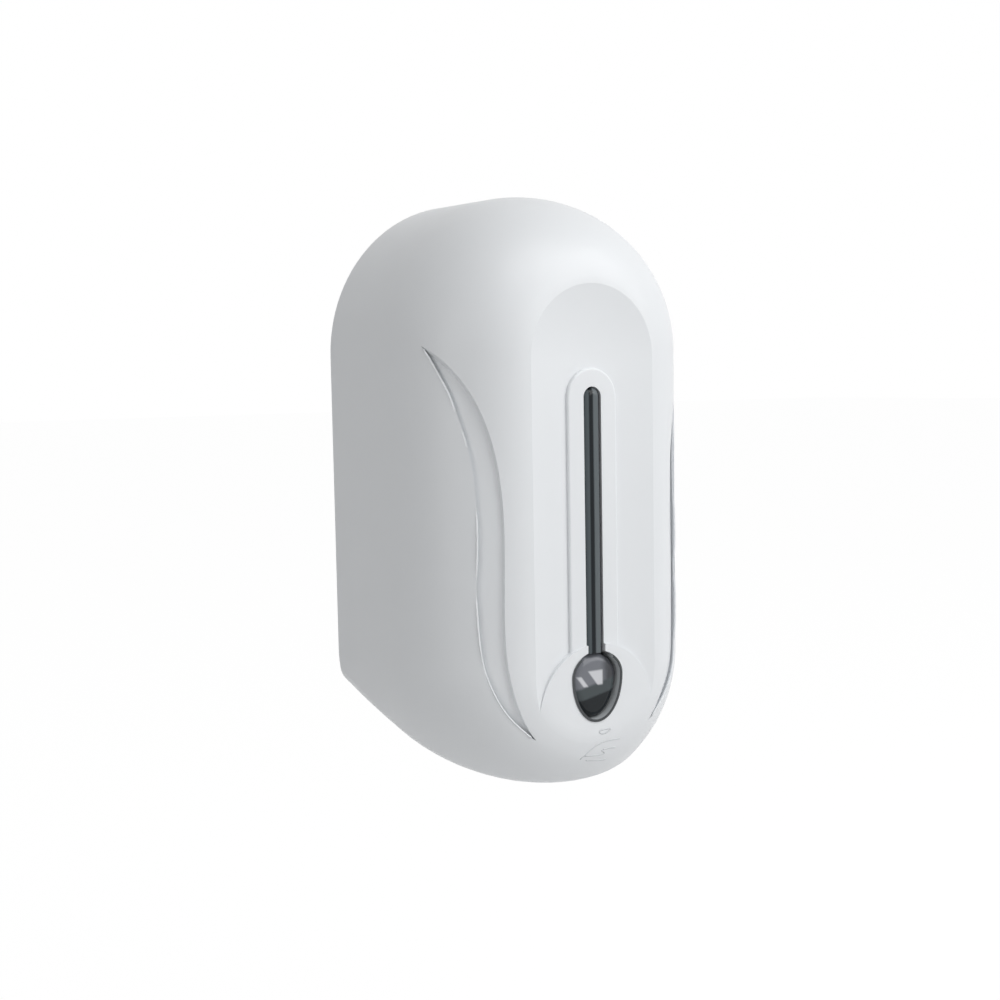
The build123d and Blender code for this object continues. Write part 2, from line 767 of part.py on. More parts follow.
tank_bottom = shelf_top + tank_seat
with BuildPart() as soap_tank:
    add(tank_form(0, tank_top))
    with BuildSketch(Plane.XY.offset(tank_top)):
        with Locations((0, -neck_back)):
            Circle(neck_radius)
    extrude(amount=neck_height)
    with BuildSketch(Plane.XY.offset(tank_bottom)):
        with Locations((0, -spigot_back)):
            Circle(spigot_radius)
    extrude(amount=-spigot_length)
    for place in hook_places:
        with BuildSketch(Plane.YZ.offset(place)):
            with Locations((-tank_back, hook_height + hook_lip + tank_seat)):
                Rectangle(tank_back - plate_thickness - hook_thickness, hook_thickness, align=(Align.MIN, Align.MIN))
            with Locations((-plate_thickness - hook_thickness, hook_height + tank_seat)):
                Rectangle(hook_thickness, hook_lip + hook_thickness, align=(Align.MAX, Align.MIN))
        extrude(amount=hook_width)
    add(tank_form(tank_wall, tank_top - tank_wall), mode=Mode.SUBTRACT)
    with BuildSketch(Plane.XY.offset(tank_top + neck_height)):
        with Locations((0, -neck_back)):
            Circle(neck_radius - neck_wall)
    extrude(amount=-neck_height - 2 * tank_wall, mode=Mode.SUBTRACT)
    with BuildSketch(Plane.XY.offset(tank_bottom - spigot_length)):
        with Locations((0, -spigot_back)):
            Circle(spigot_bore)
    extrude(amount=spigot_length + 2 * tank_wall, mode=Mode.SUBTRACT)
soap_tank.part.label = "soap_tank"

neck_top = tank_top + neck_height
gasket_bottom = neck_top + gasket_gap
with BuildPart() as cap_gasket:
    with BuildSketch(Plane.XY.offset(gasket_bottom)):
        with Locations((0, -neck_back)):
            Circle(neck_radius)
            Circle(neck_radius - gasket_width, mode=Mode.SUBTRACT)
    extrude(amount=gasket_thickness)
cap_gasket.part.label = "cap_gasket"

with BuildPart() as filler_cap:
    cap_inner = neck_radius + cap_clearance
    cap_floor = gasket_bottom + gasket_thickness
    with BuildSketch(Plane.XY.offset(tank_top + cap_lift)):
        with Locations((0, -neck_back)):
            Circle(cap_inner + cap_wall)
            with PolarLocations(cap_inner + cap_wall, grip_count):
                Circle(grip_radius)
    extrude(amount=cap_floor + cap_top - tank_top - cap_lift)
    fillet(filler_cap.faces().sort_by(Axis.Z)[-1].edges(), grip_radius / 2)
    with BuildSketch(Plane.XY.offset(tank_top + cap_lift)):
        with Locations((0, -neck_back)):
            Circle(cap_inner)
    extrude(amount=cap_floor - tank_top - cap_lift, mode=Mode.SUBTRACT)
filler_cap.part.label = "filler_cap"

# ---- Gear pump and its drive -----------------------------------------------------------------------------------
gear_tip = pitch_radius + gear_module
gear_places = ((-pitch_radius, pump_height), (pitch_radius, pump_height))
socket_radius = spigot_radius + socket_gap
socket_bottom = tank_bottom - spigot_length - socket_gap
bushing_radius = shaft_radius + shaft_clearance
rotor_back = pump_back + pump_floor + gear_side_gap
rotor_width = pump_depth - pump_floor - 2 * gear_side_gap

with BuildPart() as pump_housing:
    with BuildSketch(Plane.XZ.offset(pump_back)):
        with Locations((0, pump_height)):
            RectangleRounded(2 * pump_half_width, 2 * pump_half_height, pump_corner)
    extrude(amount=pump_depth)
    with BuildSketch(Plane.XZ.offset(pump_back + pump_floor)):
        with Locations(*gear_places):
            Circle(gear_tip + gear_tip_gap)
    extrude(amount=pump_depth - pump_floor, mode=Mode.SUBTRACT)
    with BuildSketch(Plane.XZ.offset(pump_back + bearing_floor)):
        with Locations(*gear_places):
            Circle(bushing_radius)
    extrude(amount=pump_floor, mode=Mode.SUBTRACT)
    with BuildSketch(Plane.XY.offset(shelf_bottom)):
        with Locations((0, -spigot_back)):
            Circle(socket_radius)
    extrude(amount=socket_bottom - shelf_bottom, mode=Mode.SUBTRACT)
    with BuildSketch(Plane.XY.offset(pump_height + pitch_radius)):
        with Locations((0, -spigot_back)):
            Circle(port_radius)
    extrude(amount=-body_width, mode=Mode.SUBTRACT)
    with BuildSketch(Plane.XY.offset(pump_height)):
        with Locations((0, -spigot_back)):
            Circle(port_radius)
    extrude(amount=pump_half_height - spigot_length / 2, mode=Mode.SUBTRACT)
pump_housing.part.label = "pump_housing"

with BuildPart() as pump_lid_plate:
    with BuildSketch(Plane.XZ.offset(pump_back + pump_depth)):
        with Locations((0, pump_height)):
            RectangleRounded(2 * pump_half_width, 2 * pump_half_height, pump_corner)
        with Locations(*gear_places):
            Circle(bushing_radius, mode=Mode.SUBTRACT)
    extrude(amount=pump_lid)
pump_lid_plate.part.label = "pump_lid"


def pump_rotor(place, turn, shaft_front, label):
    """A pump gear on its shaft, the shaft running from the housing's floor to shaft_front."""
    shaft_back = pump_back + bearing_floor + gear_side_gap
    with BuildPart() as rotor:
        with BuildSketch(Plane.XZ.offset(rotor_back)):
            with Locations(place):
                add(gear_sketch(gear_module, gear_teeth, turn))
        extrude(amount=rotor_width)
        with BuildSketch(Plane.XZ.offset(shaft_back)):
            with Locations(place):
                Circle(shaft_radius)
        extrude(amount=shaft_front - shaft_back)
    rotor.part.label = label
    return rotor


drive_rotor = pump_rotor(gear_places[0], 0, train_back + train_width, "drive_rotor")
idler_rotor = pump_rotor(gear_places[1], 180 + 180 / gear_teeth, pump_front - gear_side_gap, "idler_rotor")

with BuildPart() as reduction_gear:
    with BuildSketch(Plane.XZ.offset(train_back)):
        with Locations(gear_places[0]):
            add(gear_sketch(train_module, train_teeth, 0))
            Circle(shaft_radius, mode=Mode.SUBTRACT)
    extrude(amount=train_width)
reduction_gear.part.label = "reduction_gear"

motor_place = (motor_x, pump_height)
with BuildPart() as motor_pinion:
    with BuildSketch(Plane.XZ.offset(train_back)):
        with Locations(motor_place):
            add(gear_sketch(train_module, pinion_teeth, 180 + 180 / pinion_teeth))
    extrude(amount=train_width)
    with BuildSketch(Plane.XZ.offset(train_back)):
        with Locations(motor_place):
            Circle(motor_shaft_radius)
    extrude(amount=motor_back + motor_plate - train_back)
motor_pinion.part.label = "motor_pinion"

with BuildPart() as motor_bracket:
    with BuildSketch(Plane.XZ.offset(motor_plate_back)):
        with Locations((motor_x, shelf_bottom)):
            Rectangle(2 * motor_radius, shelf_bottom - pump_height, align=(Align.CENTER, Align.MAX))
        with Locations(motor_place):
            Circle(motor_radius)
            Circle(motor_shaft_radius + motor_shaft_gap, mode=Mode.SUBTRACT)
    extrude(amount=motor_plate)
    with BuildSketch(Plane.XY.offset(shelf_bottom)):
        with Locations((motor_x, -motor_plate_back)):
            Rectangle(
                2 * motor_radius + bracket_foot, motor_plate + 2 * bracket_foot_back, align=(Align.CENTER, Align.MAX)
            )
    extrude(amount=-motor_plate)
    with BuildSketch(Plane.XZ.offset(motor_back)):
        with Locations(motor_place):
            Circle(motor_radius + motor_gap)
    extrude(amount=motor_length, mode=Mode.SUBTRACT)
motor_bracket.part.label = "motor_bracket"

with BuildPart() as motor:
    with BuildSketch(Plane.XZ.offset(motor_back)):
        with Locations(motor_place):
            Circle(motor_radius)
            Rectangle(2 * motor_radius, 2 * motor_flat, mode=Mode.INTERSECT)
    extrude(amount=motor_length)
    with BuildSketch(Plane.XZ.offset(motor_back + motor_length)):
        with Locations(motor_place):
            Circle(motor_boss_radius)
    extrude(amount=motor_boss_height)
    with BuildSketch(Plane.XZ.offset(motor_back)):
        with Locations(motor_place):
            Circle(motor_shaft_radius + shaft_clearance)
    extrude(amount=motor_plate + gear_side_gap, mode=Mode.SUBTRACT)
motor.part.label = "motor"

# ---- Outlet tube and nozzle --------------------------------------------------------------------------------------
tube_start = pump_height - pump_half_height
tube_low = tube_start - tube_drop
nozzle_top = nozzle_seat + nozzle_flange_height
with BuildPart() as outlet_tube:
    with BuildLine() as tube_route:
        FilletPolyline(
            (0, -spigot_back, tube_start),
            (0, -spigot_back, tube_low),
            (0, -nozzle_back, tube_low),
            (0, -nozzle_back, nozzle_top),
            radius=tube_bend,
        )
    with BuildSketch(Plane((0, -spigot_back, tube_start), z_dir=(0, 0, -1))):
        Circle(tube_radius)
        Circle(tube_radius - tube_wall, mode=Mode.SUBTRACT)
    sweep()
outlet_tube.part.label = "outlet_tube"

nozzle_tip = underside_z(nozzle_back) - nozzle_proud
with BuildPart() as nozzle:
    with BuildSketch(Plane.YZ):
        with BuildLine():
            Polyline(
                (-nozzle_back - nozzle_bore, nozzle_top),
                (-nozzle_back - nozzle_flange, nozzle_top),
                (-nozzle_back - nozzle_flange, nozzle_seat),
                (-nozzle_back - nozzle_radius, nozzle_seat),
                (-nozzle_back - nozzle_radius, nozzle_tip + nozzle_cone),
                (-nozzle_back - nozzle_tip_radius, nozzle_tip),
                (-nozzle_back - nozzle_bore, nozzle_tip),
                close=True,
            )
        make_face()
    revolve(axis=Axis((0, -nozzle_back, 0), (0, 0, 1)))
nozzle.part.label = "nozzle"

# ---- Sensor --------------------------------------------------------------------------------------------------------
sensor_place = (0, -sensor_back / math.cos(slope))
with BuildPart() as sensor_window:
    with BuildSketch(underside):
        with Locations(sensor_place):
            SlotOverall(sensor_width, sensor_height)
    extrude(amount=spout_wall)
    with BuildSketch(underside.offset(spout_wall)):
        with Locations(sensor_place):
            SlotOverall(sensor_width + 4 * sensor_flange, sensor_height + 2 * sensor_flange)
    extrude(amount=sensor_flange)
sensor_window.part.label = "sensor_window"

diode_seat = spout_wall + sensor_flange
with BuildPart() as infrared_diodes:
    with BuildSketch(underside.offset(diode_seat)):
        with Locations(sensor_place):
            with GridLocations(diode_spacing, 1, 2, 1):
                Circle(diode_radius)
    extrude(amount=diode_length)
infrared_diodes.part.label = "infrared_diodes"

with BuildPart() as sensor_board:
    with BuildSketch(underside.offset(diode_seat + diode_length)):
        with Locations(sensor_place):
            Rectangle(2 * (spout_end - spout_wall - sensor_gap), sensor_height + 2 * sensor_flange)
    extrude(amount=board_thickness)
sensor_board.part.label = "sensor_board"

# ---- Batteries -------------------------------------------------------------------------------------------------------
battery_outer = battery_side - body_radius
battery_inner = battery_overhang - spout_end
cell_pitch = (battery_inner - battery_outer) / 2 - battery_wall
cell_radius = (cell_pitch - cell_gap) / 2
battery_bottom = shelf_bottom - 2 * battery_wall - 2 * cell_pitch
battery_middle = ((battery_inner + battery_outer) / 2, (shelf_bottom + battery_bottom) / 2)
bay_length = cell_length + 2 * contact_thickness
battery_front = battery_back + battery_wall + bay_length

with BuildPart() as battery_box:
    with BuildSketch(Plane.XZ.offset(battery_back)):
        with Locations(battery_middle):
            RectangleRounded(battery_inner - battery_outer, shelf_bottom - battery_bottom, battery_wall)
    extrude(amount=battery_wall + bay_length)
    with BuildSketch(Plane.XZ.offset(battery_back + battery_wall)):
        with Locations(battery_middle):
            Rectangle(2 * cell_pitch, 2 * cell_pitch)
    extrude(amount=bay_length, mode=Mode.SUBTRACT)
battery_box.part.label = "battery_box"

with BuildPart() as battery_cells:
    with BuildSketch(Plane.XZ.offset(battery_back + battery_wall + contact_thickness)):
        with Locations(battery_middle):
            with GridLocations(cell_pitch, cell_pitch, 2, 2):
                Circle(cell_radius)
    extrude(amount=cell_length - contact_thickness)
    with BuildSketch(Plane.XZ.offset(battery_front - 2 * contact_thickness)):
        with Locations(battery_middle):
            with GridLocations(cell_pitch, cell_pitch, 2, 2):
                Circle(cell_cap_radius)
    extrude(amount=contact_thickness)
battery_cells.part.label = "battery_cells"

with BuildPart() as battery_contacts:
    with BuildSketch(Plane.XZ.offset(battery_back + battery_wall)):
        with Locations(battery_middle):
            with GridLocations(cell_pitch, 1, 2, 1):
                Rectangle(contact_width, cell_pitch + contact_width)
    extrude(amount=contact_thickness)
battery_contacts.part.label = "battery_contacts"

with BuildPart() as battery_door:
    with BuildSketch(Plane.XZ.offset(battery_front + door_gap)):
        with Locations((battery_middle[0], shelf_bottom - door_gap)):
            door_face = Rectangle(
                battery_inner - battery_outer, shelf_bottom - battery_bottom - door_gap, align=(Align.CENTER, Align.MAX)
            )
        fillet(door_face.vertices().group_by(Axis.Z)[0], door_corner)
    extrude(amount=door_thickness)
    with BuildSketch(Plane.XZ.offset(battery_front + door_gap + door_thickness)):
        with Locations((battery_middle[0], battery_bottom + 3 * door_thickness)):
            with GridLocations(1, door_grip_pitch, 1, 3):
                Rectangle(cell_pitch, door_grip_width)
    extrude(amount=door_grip_width)
battery_door.part.label = "battery_door"

# ---- Control board, switch and indicator ----------------------------------------------------------------------------
board_top = shelf_bottom - board_drop
with BuildPart() as circuit_board:
    with BuildSketch(Plane.XY.offset(board_top)):
        with Locations(board_middle):
            Rectangle(board_width, board_length)
    extrude(amount=-board_thickness)
circuit_board.part.label = "circuit_board"

with BuildPart() as board_components:
    under_board = board_top - board_thickness
    with BuildSketch(Plane.XY.offset(under_board)):
        with Locations((board_middle[0], board_middle[1] + part_offset)):
            Rectangle(chip_width, chip_width)
    extrude(amount=-chip_height)
    with BuildSketch(Plane.XY.offset(under_board)):
        with Locations((board_middle[0], board_middle[1] - part_offset)):
            with GridLocations(can_spacing, 1, 2, 1):
                Circle(can_radius)
    extrude(amount=-can_height)
board_components.part.label = "board_components"

slot_length = knob_width + knob_travel + 2 * knob_gap
switch_middle = shelf_bottom - switch_height / 2
switch_centre = body_radius - switch_side
with BuildPart() as switch_body:
    with BuildSketch(Plane.XZ.offset(switch_back)):
        with Locations((switch_centre, switch_middle)):
            RectangleRounded(switch_width, switch_height, switch_corner)
    extrude(amount=switch_depth)
    with BuildSketch(Plane.XZ.offset(switch_back + switch_depth / 2)):
        with Locations((switch_centre, switch_middle)):
            Rectangle(slot_length, knob_height + 2 * knob_gap)
    extrude(amount=switch_depth, mode=Mode.SUBTRACT)
switch_body.part.label = "switch_body"

with BuildPart() as switch_knob:
    with BuildSketch(Plane.XZ.offset(switch_back + switch_depth / 2 + knob_gap)):
        with Locations((switch_centre - knob_travel / 2, switch_middle)):
            Rectangle(knob_width, knob_height)
    extrude(amount=switch_depth / 2 + knob_proud)
switch_knob.part.label = "switch_knob"

led_back = shelf_front - led_set - board_thickness
with BuildPart() as led_board:
    with BuildSketch(Plane.XZ.offset(led_back)):
        with Locations((0, shelf_bottom)):
            Rectangle(led_board_width, shelf_bottom - lens_widest + 2 * led_radius, align=(Align.CENTER, Align.MAX))
    extrude(amount=board_thickness)
led_board.part.label = "led_board"

with BuildPart() as indicator_led:
    with BuildSketch(Plane.XZ.offset(led_back + board_thickness)):
        with Locations((0, lens_widest)):
            Circle(led_radius)
    extrude(amount=led_height)
    fillet(indicator_led.faces().sort_by(Axis.Y)[0].edges(), led_height / 2)
indicator_led.part.label = "indicator_led"

nodes = [
    front_cover, level_window, lens_bezel, indicator_lens, lock_housing, lock_nut, lock_barrel, lock_cam,
    back_plate, plate_rim, spout_housing, hinge_pins, lock_catch, chassis_shelf, soap_tank, cap_gasket, filler_cap,
    pump_housing, pump_lid_plate, drive_rotor, idler_rotor, reduction_gear, motor_pinion, motor_bracket, motor,
    outlet_tube, nozzle, sensor_window, infrared_diodes, sensor_board, battery_box, battery_cells,
    battery_contacts, battery_door, circuit_board, board_components, switch_body, switch_knob, led_board,
    indicator_led,
]

os.makedirs("parts", exist_ok=True)
for node in nodes:
    export_step(node.part, f"parts/{node.part.label}.step")
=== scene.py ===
"""Touchless wall mounted soap dispenser: finishes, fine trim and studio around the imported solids.

All lengths are metres in the frame of the solids: X to the viewer's right, -Y out of the wall, +Z up.
"""
import json
import logging
import math
from dataclasses import dataclass
from enum import Enum
from typing import Callable, Iterable, Sequence, Union

import bmesh
import bpy
from mathutils import Matrix, Vector


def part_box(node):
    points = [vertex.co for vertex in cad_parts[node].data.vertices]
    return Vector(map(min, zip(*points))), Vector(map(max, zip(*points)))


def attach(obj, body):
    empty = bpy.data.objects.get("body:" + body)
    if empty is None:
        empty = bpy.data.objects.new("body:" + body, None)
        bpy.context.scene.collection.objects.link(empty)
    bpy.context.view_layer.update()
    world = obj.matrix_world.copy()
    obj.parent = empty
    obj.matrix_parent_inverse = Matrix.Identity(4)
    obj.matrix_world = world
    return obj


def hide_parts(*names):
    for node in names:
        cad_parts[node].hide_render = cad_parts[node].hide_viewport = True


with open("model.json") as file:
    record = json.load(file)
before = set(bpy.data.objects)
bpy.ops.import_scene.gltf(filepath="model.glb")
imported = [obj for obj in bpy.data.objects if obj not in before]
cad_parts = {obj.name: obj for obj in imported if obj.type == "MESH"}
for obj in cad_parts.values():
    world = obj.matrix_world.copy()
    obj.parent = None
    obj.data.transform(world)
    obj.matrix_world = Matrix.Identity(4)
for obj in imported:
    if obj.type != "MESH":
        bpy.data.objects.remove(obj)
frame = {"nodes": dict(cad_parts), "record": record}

LOG = logging.getLogger("dispenser")
MM = 0.001
AHEAD = -200 * MM           # a depth in front of the whole part, where a probe towards the wall starts
TO_WALL = Vector((0.0, 1.0, 0.0))
SMOOTH_ANGLE = 35.0         # degrees; flatter edges are shaded smooth
SHARP_ANGLE = 40.0          # degrees; sharper edges are rounded
TUBE_ANGLE = 60.0           # degrees; the same as SMOOTH_ANGLE on the few sides of a tube
Point = tuple[float, float, float]
Pair = tuple[float, float]
Line = tuple[Pair, ...]
Colour = tuple[float, float, float]
WHITE: Colour = (1.0, 1.0, 1.0)


class Along(Enum):
    """The axis that a pattern or a piece runs along."""

    X = 0
    Y = 1
    Z = 2


# ---- Shader expressions ------------------------------------------------------------------------------


class Signal:
    """A number inside a material. Arithmetic on it adds Math nodes."""

    def __init__(self, graph: "Graph", socket: bpy.types.NodeSocket) -> None:
        """Wraps an output socket of a graph."""
        self.graph = graph
        self.socket = socket

    def _math(self, operation: str, *terms: "Term") -> "Signal":
        """The result of a Math node with the terms as its inputs."""
        node = self.graph.node("ShaderNodeMath", {"operation": operation}, dict(enumerate(terms)))
        return Signal(self.graph, node.outputs[0])

    def __add__(self, other: "Term") -> "Signal":
        """self + other."""
        return self._math("ADD", self, other)

    def __radd__(self, other: "Term") -> "Signal":
        """other + self."""
        return self._math("ADD", other, self)

    def __sub__(self, other: "Term") -> "Signal":
        """self - other."""
        return self._math("SUBTRACT", self, other)

    def __rsub__(self, other: "Term") -> "Signal":
        """other - self."""
        return self._math("SUBTRACT", other, self)

    def __mul__(self, other: "Term") -> "Signal":
        """self * other."""
        return self._math("MULTIPLY", self, other)

    def __truediv__(self, other: "Term") -> "Signal":
        """self / other."""
        return self._math("DIVIDE", self, other)

    def __abs__(self) -> "Signal":
        """The size of self."""
        return self._math("ABSOLUTE", self)

    def wave(self) -> "Signal":
        """The sine of self."""
        return self._math("SINE", self)

    def fraction(self) -> "Signal":
        """What is left of self over a whole number."""
        return self._math("FRACT", self)

    def or_more(self, other: "Term") -> "Signal":
        """The larger of self and other."""
        return self._math("MAXIMUM", self, other)

    def ramp(self, low: float, high: float) -> "Signal":
        """Goes smoothly from 0 where self is low to 1 where self is high.

        Args:
            low: value that gives 0.
            high: value that gives 1, which may be under low.

        Returns:
            The smooth step.
        """
        node = self.graph.node(
            "ShaderNodeMapRange",
            {"interpolation_type": "SMOOTHSTEP"},
            {"Value": self, "From Min": low, "From Max": high},
        )
        return Signal(self.graph, node.outputs[0])

    def within(self, low: float, high: float, soft: float) -> "Signal":
        """1 between low and high, 0 outside, with edges soft wide."""
        return self.ramp(low - soft, low) * self.ramp(high + soft, high)


Term = Union[Signal, float]


class Graph:
    """The node tree of one material or world."""

    def __init__(self, owner: Union[bpy.types.Material, bpy.types.World]) -> None:
        """Empties the owner's tree."""
        owner.use_nodes = True
        self.owner = owner
        self.tree = owner.node_tree
        self.tree.nodes.clear()
        self.places = self.node("ShaderNodeTexCoord").outputs
        self.coordinates = self.places["Object"]

    @classmethod
    def material(cls, name: str) -> "Graph":
        """The graph of a new material of that name."""
        return cls(bpy.data.materials.new(name))

    def node(self, kind: str, settings: dict | None = None, inputs: dict | None = None) -> bpy.types.Node:
        """Adds a node.

        Args:
            kind: the node's type name.
            settings: attributes, set before the sockets.
            inputs: values or links by socket name or number.

        Returns:
            The node.
        """
        made = self.tree.nodes.new(kind)
        for key, value in (settings or {}).items():
            setattr(made, key, value)
        for key, value in (inputs or {}).items():
            socket = made.inputs[key]
            if isinstance(value, Signal):
                self.tree.links.new(value.socket, socket)
            elif isinstance(value, bpy.types.NodeSocket):
                self.tree.links.new(value, socket)
            else:
                socket.default_value = value
        return made

    def axis(self, along: Along) -> Signal:
        """The object coordinate along one axis, in metres."""
        split = self.node("ShaderNodeSeparateXYZ", inputs={0: self.coordinates})
        return Signal(self, split.outputs[along.value])

    def stretched(self, stretch: Point) -> bpy.types.NodeSocket:
        """The object coordinates, multiplied along each axis."""
        mapping = self.node("ShaderNodeMapping", inputs={"Vector": self.coordinates, "Scale": stretch})
        return mapping.outputs[0]

    def noise(self, size: float, detail: float = 2.0, stretch: Point = (1.0, 1.0, 1.0)) -> Signal:
        """Soft noise about 0.5.

        Args:
            size: width of its features, in metres.
            detail: octaves.
            stretch: how much denser it is along each axis.

        Returns:
            The noise, from 0 to 1.
        """
        made = self.node(
            "ShaderNodeTexNoise",
            inputs={"Vector": self.stretched(stretch), "Scale": 1.0 / size, "Detail": detail, "Roughness": 0.5},
        )
        return Signal(self, made.outputs["Fac"])

    def cells(self, size: float) -> Signal:
        """Distance to the nearest of scattered points, in widths of size."""
        made = self.node("ShaderNodeTexVoronoi", inputs={"Vector": self.coordinates, "Scale": 1.0 / size})
        return Signal(self, made.outputs["Distance"])

    def blend(self, factor: Term, first: "Tone", second: "Tone") -> bpy.types.NodeSocket:
        """Mixes two colours.

        Args:
            factor: 0 gives first, 1 gives second.
            first: a colour or a colour socket.
            second: a colour or a colour socket.

        Returns:
            The mixed colour.
        """
        made = self.node("ShaderNodeMix", {"data_type": "RGBA"}, {0: factor, 6: tone(first), 7: tone(second)})
        return made.outputs[2]

    def swing(self, factor: Term, colour: Colour, share: float) -> bpy.types.NodeSocket:
        """The colour, darker by a share where the factor is 0 and lighter by it where that is 1."""
        return self.blend(factor, shade(colour, 1 - share), shade(colour, 1 + share))

    def relief(
        self, height: Signal, depth: float, under: bpy.types.NodeSocket | None = None
    ) -> bpy.types.NodeSocket:
        """A bump.

        Args:
            height: what stands out, from 0 to 1.
            depth: how far it stands out, in metres.
            under: another bump that this one lies on.

        Returns:
            The bent normal.
        """
        inputs = {"Height": height, "Distance": depth, "Strength": 1.0}
        if under is not None:
            inputs["Normal"] = under
        return self.node("ShaderNodeBump", inputs=inputs).outputs[0]

    def surface(self, **inputs: object) -> bpy.types.Material:
        """Closes a material with a Principled shader.

        Args:
            inputs: its sockets' values or links, with _ for a space in each name.

        Returns:
            The finished material.
        """
        named = {key.replace("_", " "): value for key, value in inputs.items()}
        shader = self.node("ShaderNodeBsdfPrincipled", inputs=named)
        self.node("ShaderNodeOutputMaterial", inputs={"Surface": shader.outputs[0]})
        return self.owner


Tone = Union[Colour, bpy.types.NodeSocket]


def tone(value: Tone) -> object:
    """A colour with its alpha, or the socket unchanged."""
    return (*value, 1.0) if isinstance(value, tuple) else value


def shade(colour: Colour, share: float) -> Colour:
    """The colour, lighter or darker by a share."""
    return tuple(min(1.0, part * share) for part in colour)


# ---- Finishes ----------------------------------------------------------------------------------------


@dataclass(frozen=True)
class MouldedPlastic:
    """Opaque moulded plastic, with slow tone changes, a fine moulded grain and handling marks."""

    name: str
    colour: Colour
    roughness: float = 0.35
    grain: float = 0.8 * MM
    grain_depth: float = 0.02 * MM
    cloud_size: float = 34.0 * MM
    clouds: float = 0.03
    mark_size: float = 9.0 * MM
    handling: float = 0.08
    coat: float = 0.0

    def build(self) -> bpy.types.Material:
        """Makes the material."""
        graph = Graph.material(self.name)
        clouds = graph.noise(self.cloud_size, 3.0)
        marks = graph.noise(self.mark_size, 4.0, (1.0, 1.0, 0.5))
        grain = graph.noise(self.grain, 2.0)
        return graph.surface(
            Base_Color=graph.swing(clouds, self.colour, self.clouds),
            Roughness=self.roughness + (marks.ramp(0.45, 0.75) - 0.4) * self.handling,
            Normal=graph.relief(grain, self.grain_depth),
            Coat_Weight=self.coat,
            Coat_Roughness=0.04,
            Specular_IOR_Level=0.5,
        )


@dataclass(frozen=True)
class ClearPlastic:
    """See-through plastic, tinted or clear, with flow lines along one axis."""

    name: str
    colour: Colour
    transmission: float
    roughness: float = 0.06
    flow: float = 6 * MM
    flow_depth: float = 0.01 * MM
    haze_size: float = 4.0 * MM
    cloudy: float = 0.04

    def build(self) -> bpy.types.Material:
        """Makes the material."""
        graph = Graph.material(self.name)
        flow = graph.noise(self.flow, 2.0, (1.0, 1.0, 0.2))
        haze = graph.noise(self.haze_size, 3.0)
        return graph.surface(
            Base_Color=graph.swing(haze, self.colour, self.cloudy),
            Roughness=self.roughness + haze.ramp(0.4, 0.8) * self.roughness * 0.6,
            Normal=graph.relief(flow, self.flow_depth),
            Transmission_Weight=self.transmission,
            IOR=1.49,
        )


@dataclass(frozen=True)
class WorkedMetal:
    """Plated or drawn metal, brushed along one axis, with duller wear patches."""

    name: str
    colour: Colour
    roughness: float = 0.28
    along: Along = Along.Z
    lines: float = 0.5 * MM
    line_depth: float = 0.008 * MM
    line_stretch: float = 0.06
    wear_size: float = 5.0 * MM
    worn: float = 0.82

    def build(self) -> bpy.types.Material:
        """Makes the material."""
        graph = Graph.material(self.name)
        stretch = [1.0, 1.0, 1.0]
        stretch[self.along.value] = self.line_stretch
        lines = graph.noise(self.lines, 3.0, tuple(stretch))
        wear = graph.noise(self.wear_size, 3.0).ramp(0.5, 0.75)
        return graph.surface(
            Base_Color=graph.blend(wear, self.colour, shade(self.colour, self.worn)),
            Metallic=1.0,
            Roughness=self.roughness + lines * 0.12 + wear * 0.1,
            Normal=graph.relief(lines, self.line_depth),
        )


@dataclass(frozen=True)
class BoardLaminate:
    """Circuit board laminate: solder mask over a routed copper pattern and a woven core."""

    name: str
    colour: Colour
    pad: Colour = (0.72, 0.72, 0.70)
    track_tone: float = 1.7
    lane_pitch: float = 2.2 * MM
    run_pitch: float = 2.9 * MM
    track_edge: Pair = (0.2, 0.14)
    thread: float = 0.35 * MM
    pad_pitch: float = 5.5 * MM
    pad_edge: Pair = (0.16, 0.13)

    def build(self) -> bpy.types.Material:
        """Makes the material."""
        graph = Graph.material(self.name)
        first, second = graph.axis(Along.X), graph.axis(Along.Y)
        bend = graph.noise(11 * MM, 0.0)
        lanes = ((first + bend * 6 * MM) / self.lane_pitch).fraction()
        runs = ((second + bend * 9 * MM) / self.run_pitch).fraction()
        choose = graph.noise(14 * MM, 0.0).ramp(0.49, 0.51)
        lane_track, run_track = (abs(share - 0.5).ramp(*self.track_edge) for share in (lanes, runs))
        track = lane_track * choose + run_track * (1 - choose)
        weave = (first / self.thread).wave() * (second / self.thread).wave()
        pads = graph.cells(self.pad_pitch).ramp(*self.pad_edge)
        mask = graph.blend(track, self.colour, shade(self.colour, self.track_tone))
        return graph.surface(
            Base_Color=graph.blend(pads, mask, self.pad),
            Metallic=pads * 0.9,
            Roughness=0.32 + weave * 0.03,
            Normal=graph.relief(track + pads, 0.04 * MM, graph.relief(weave, 0.004 * MM)),
        )


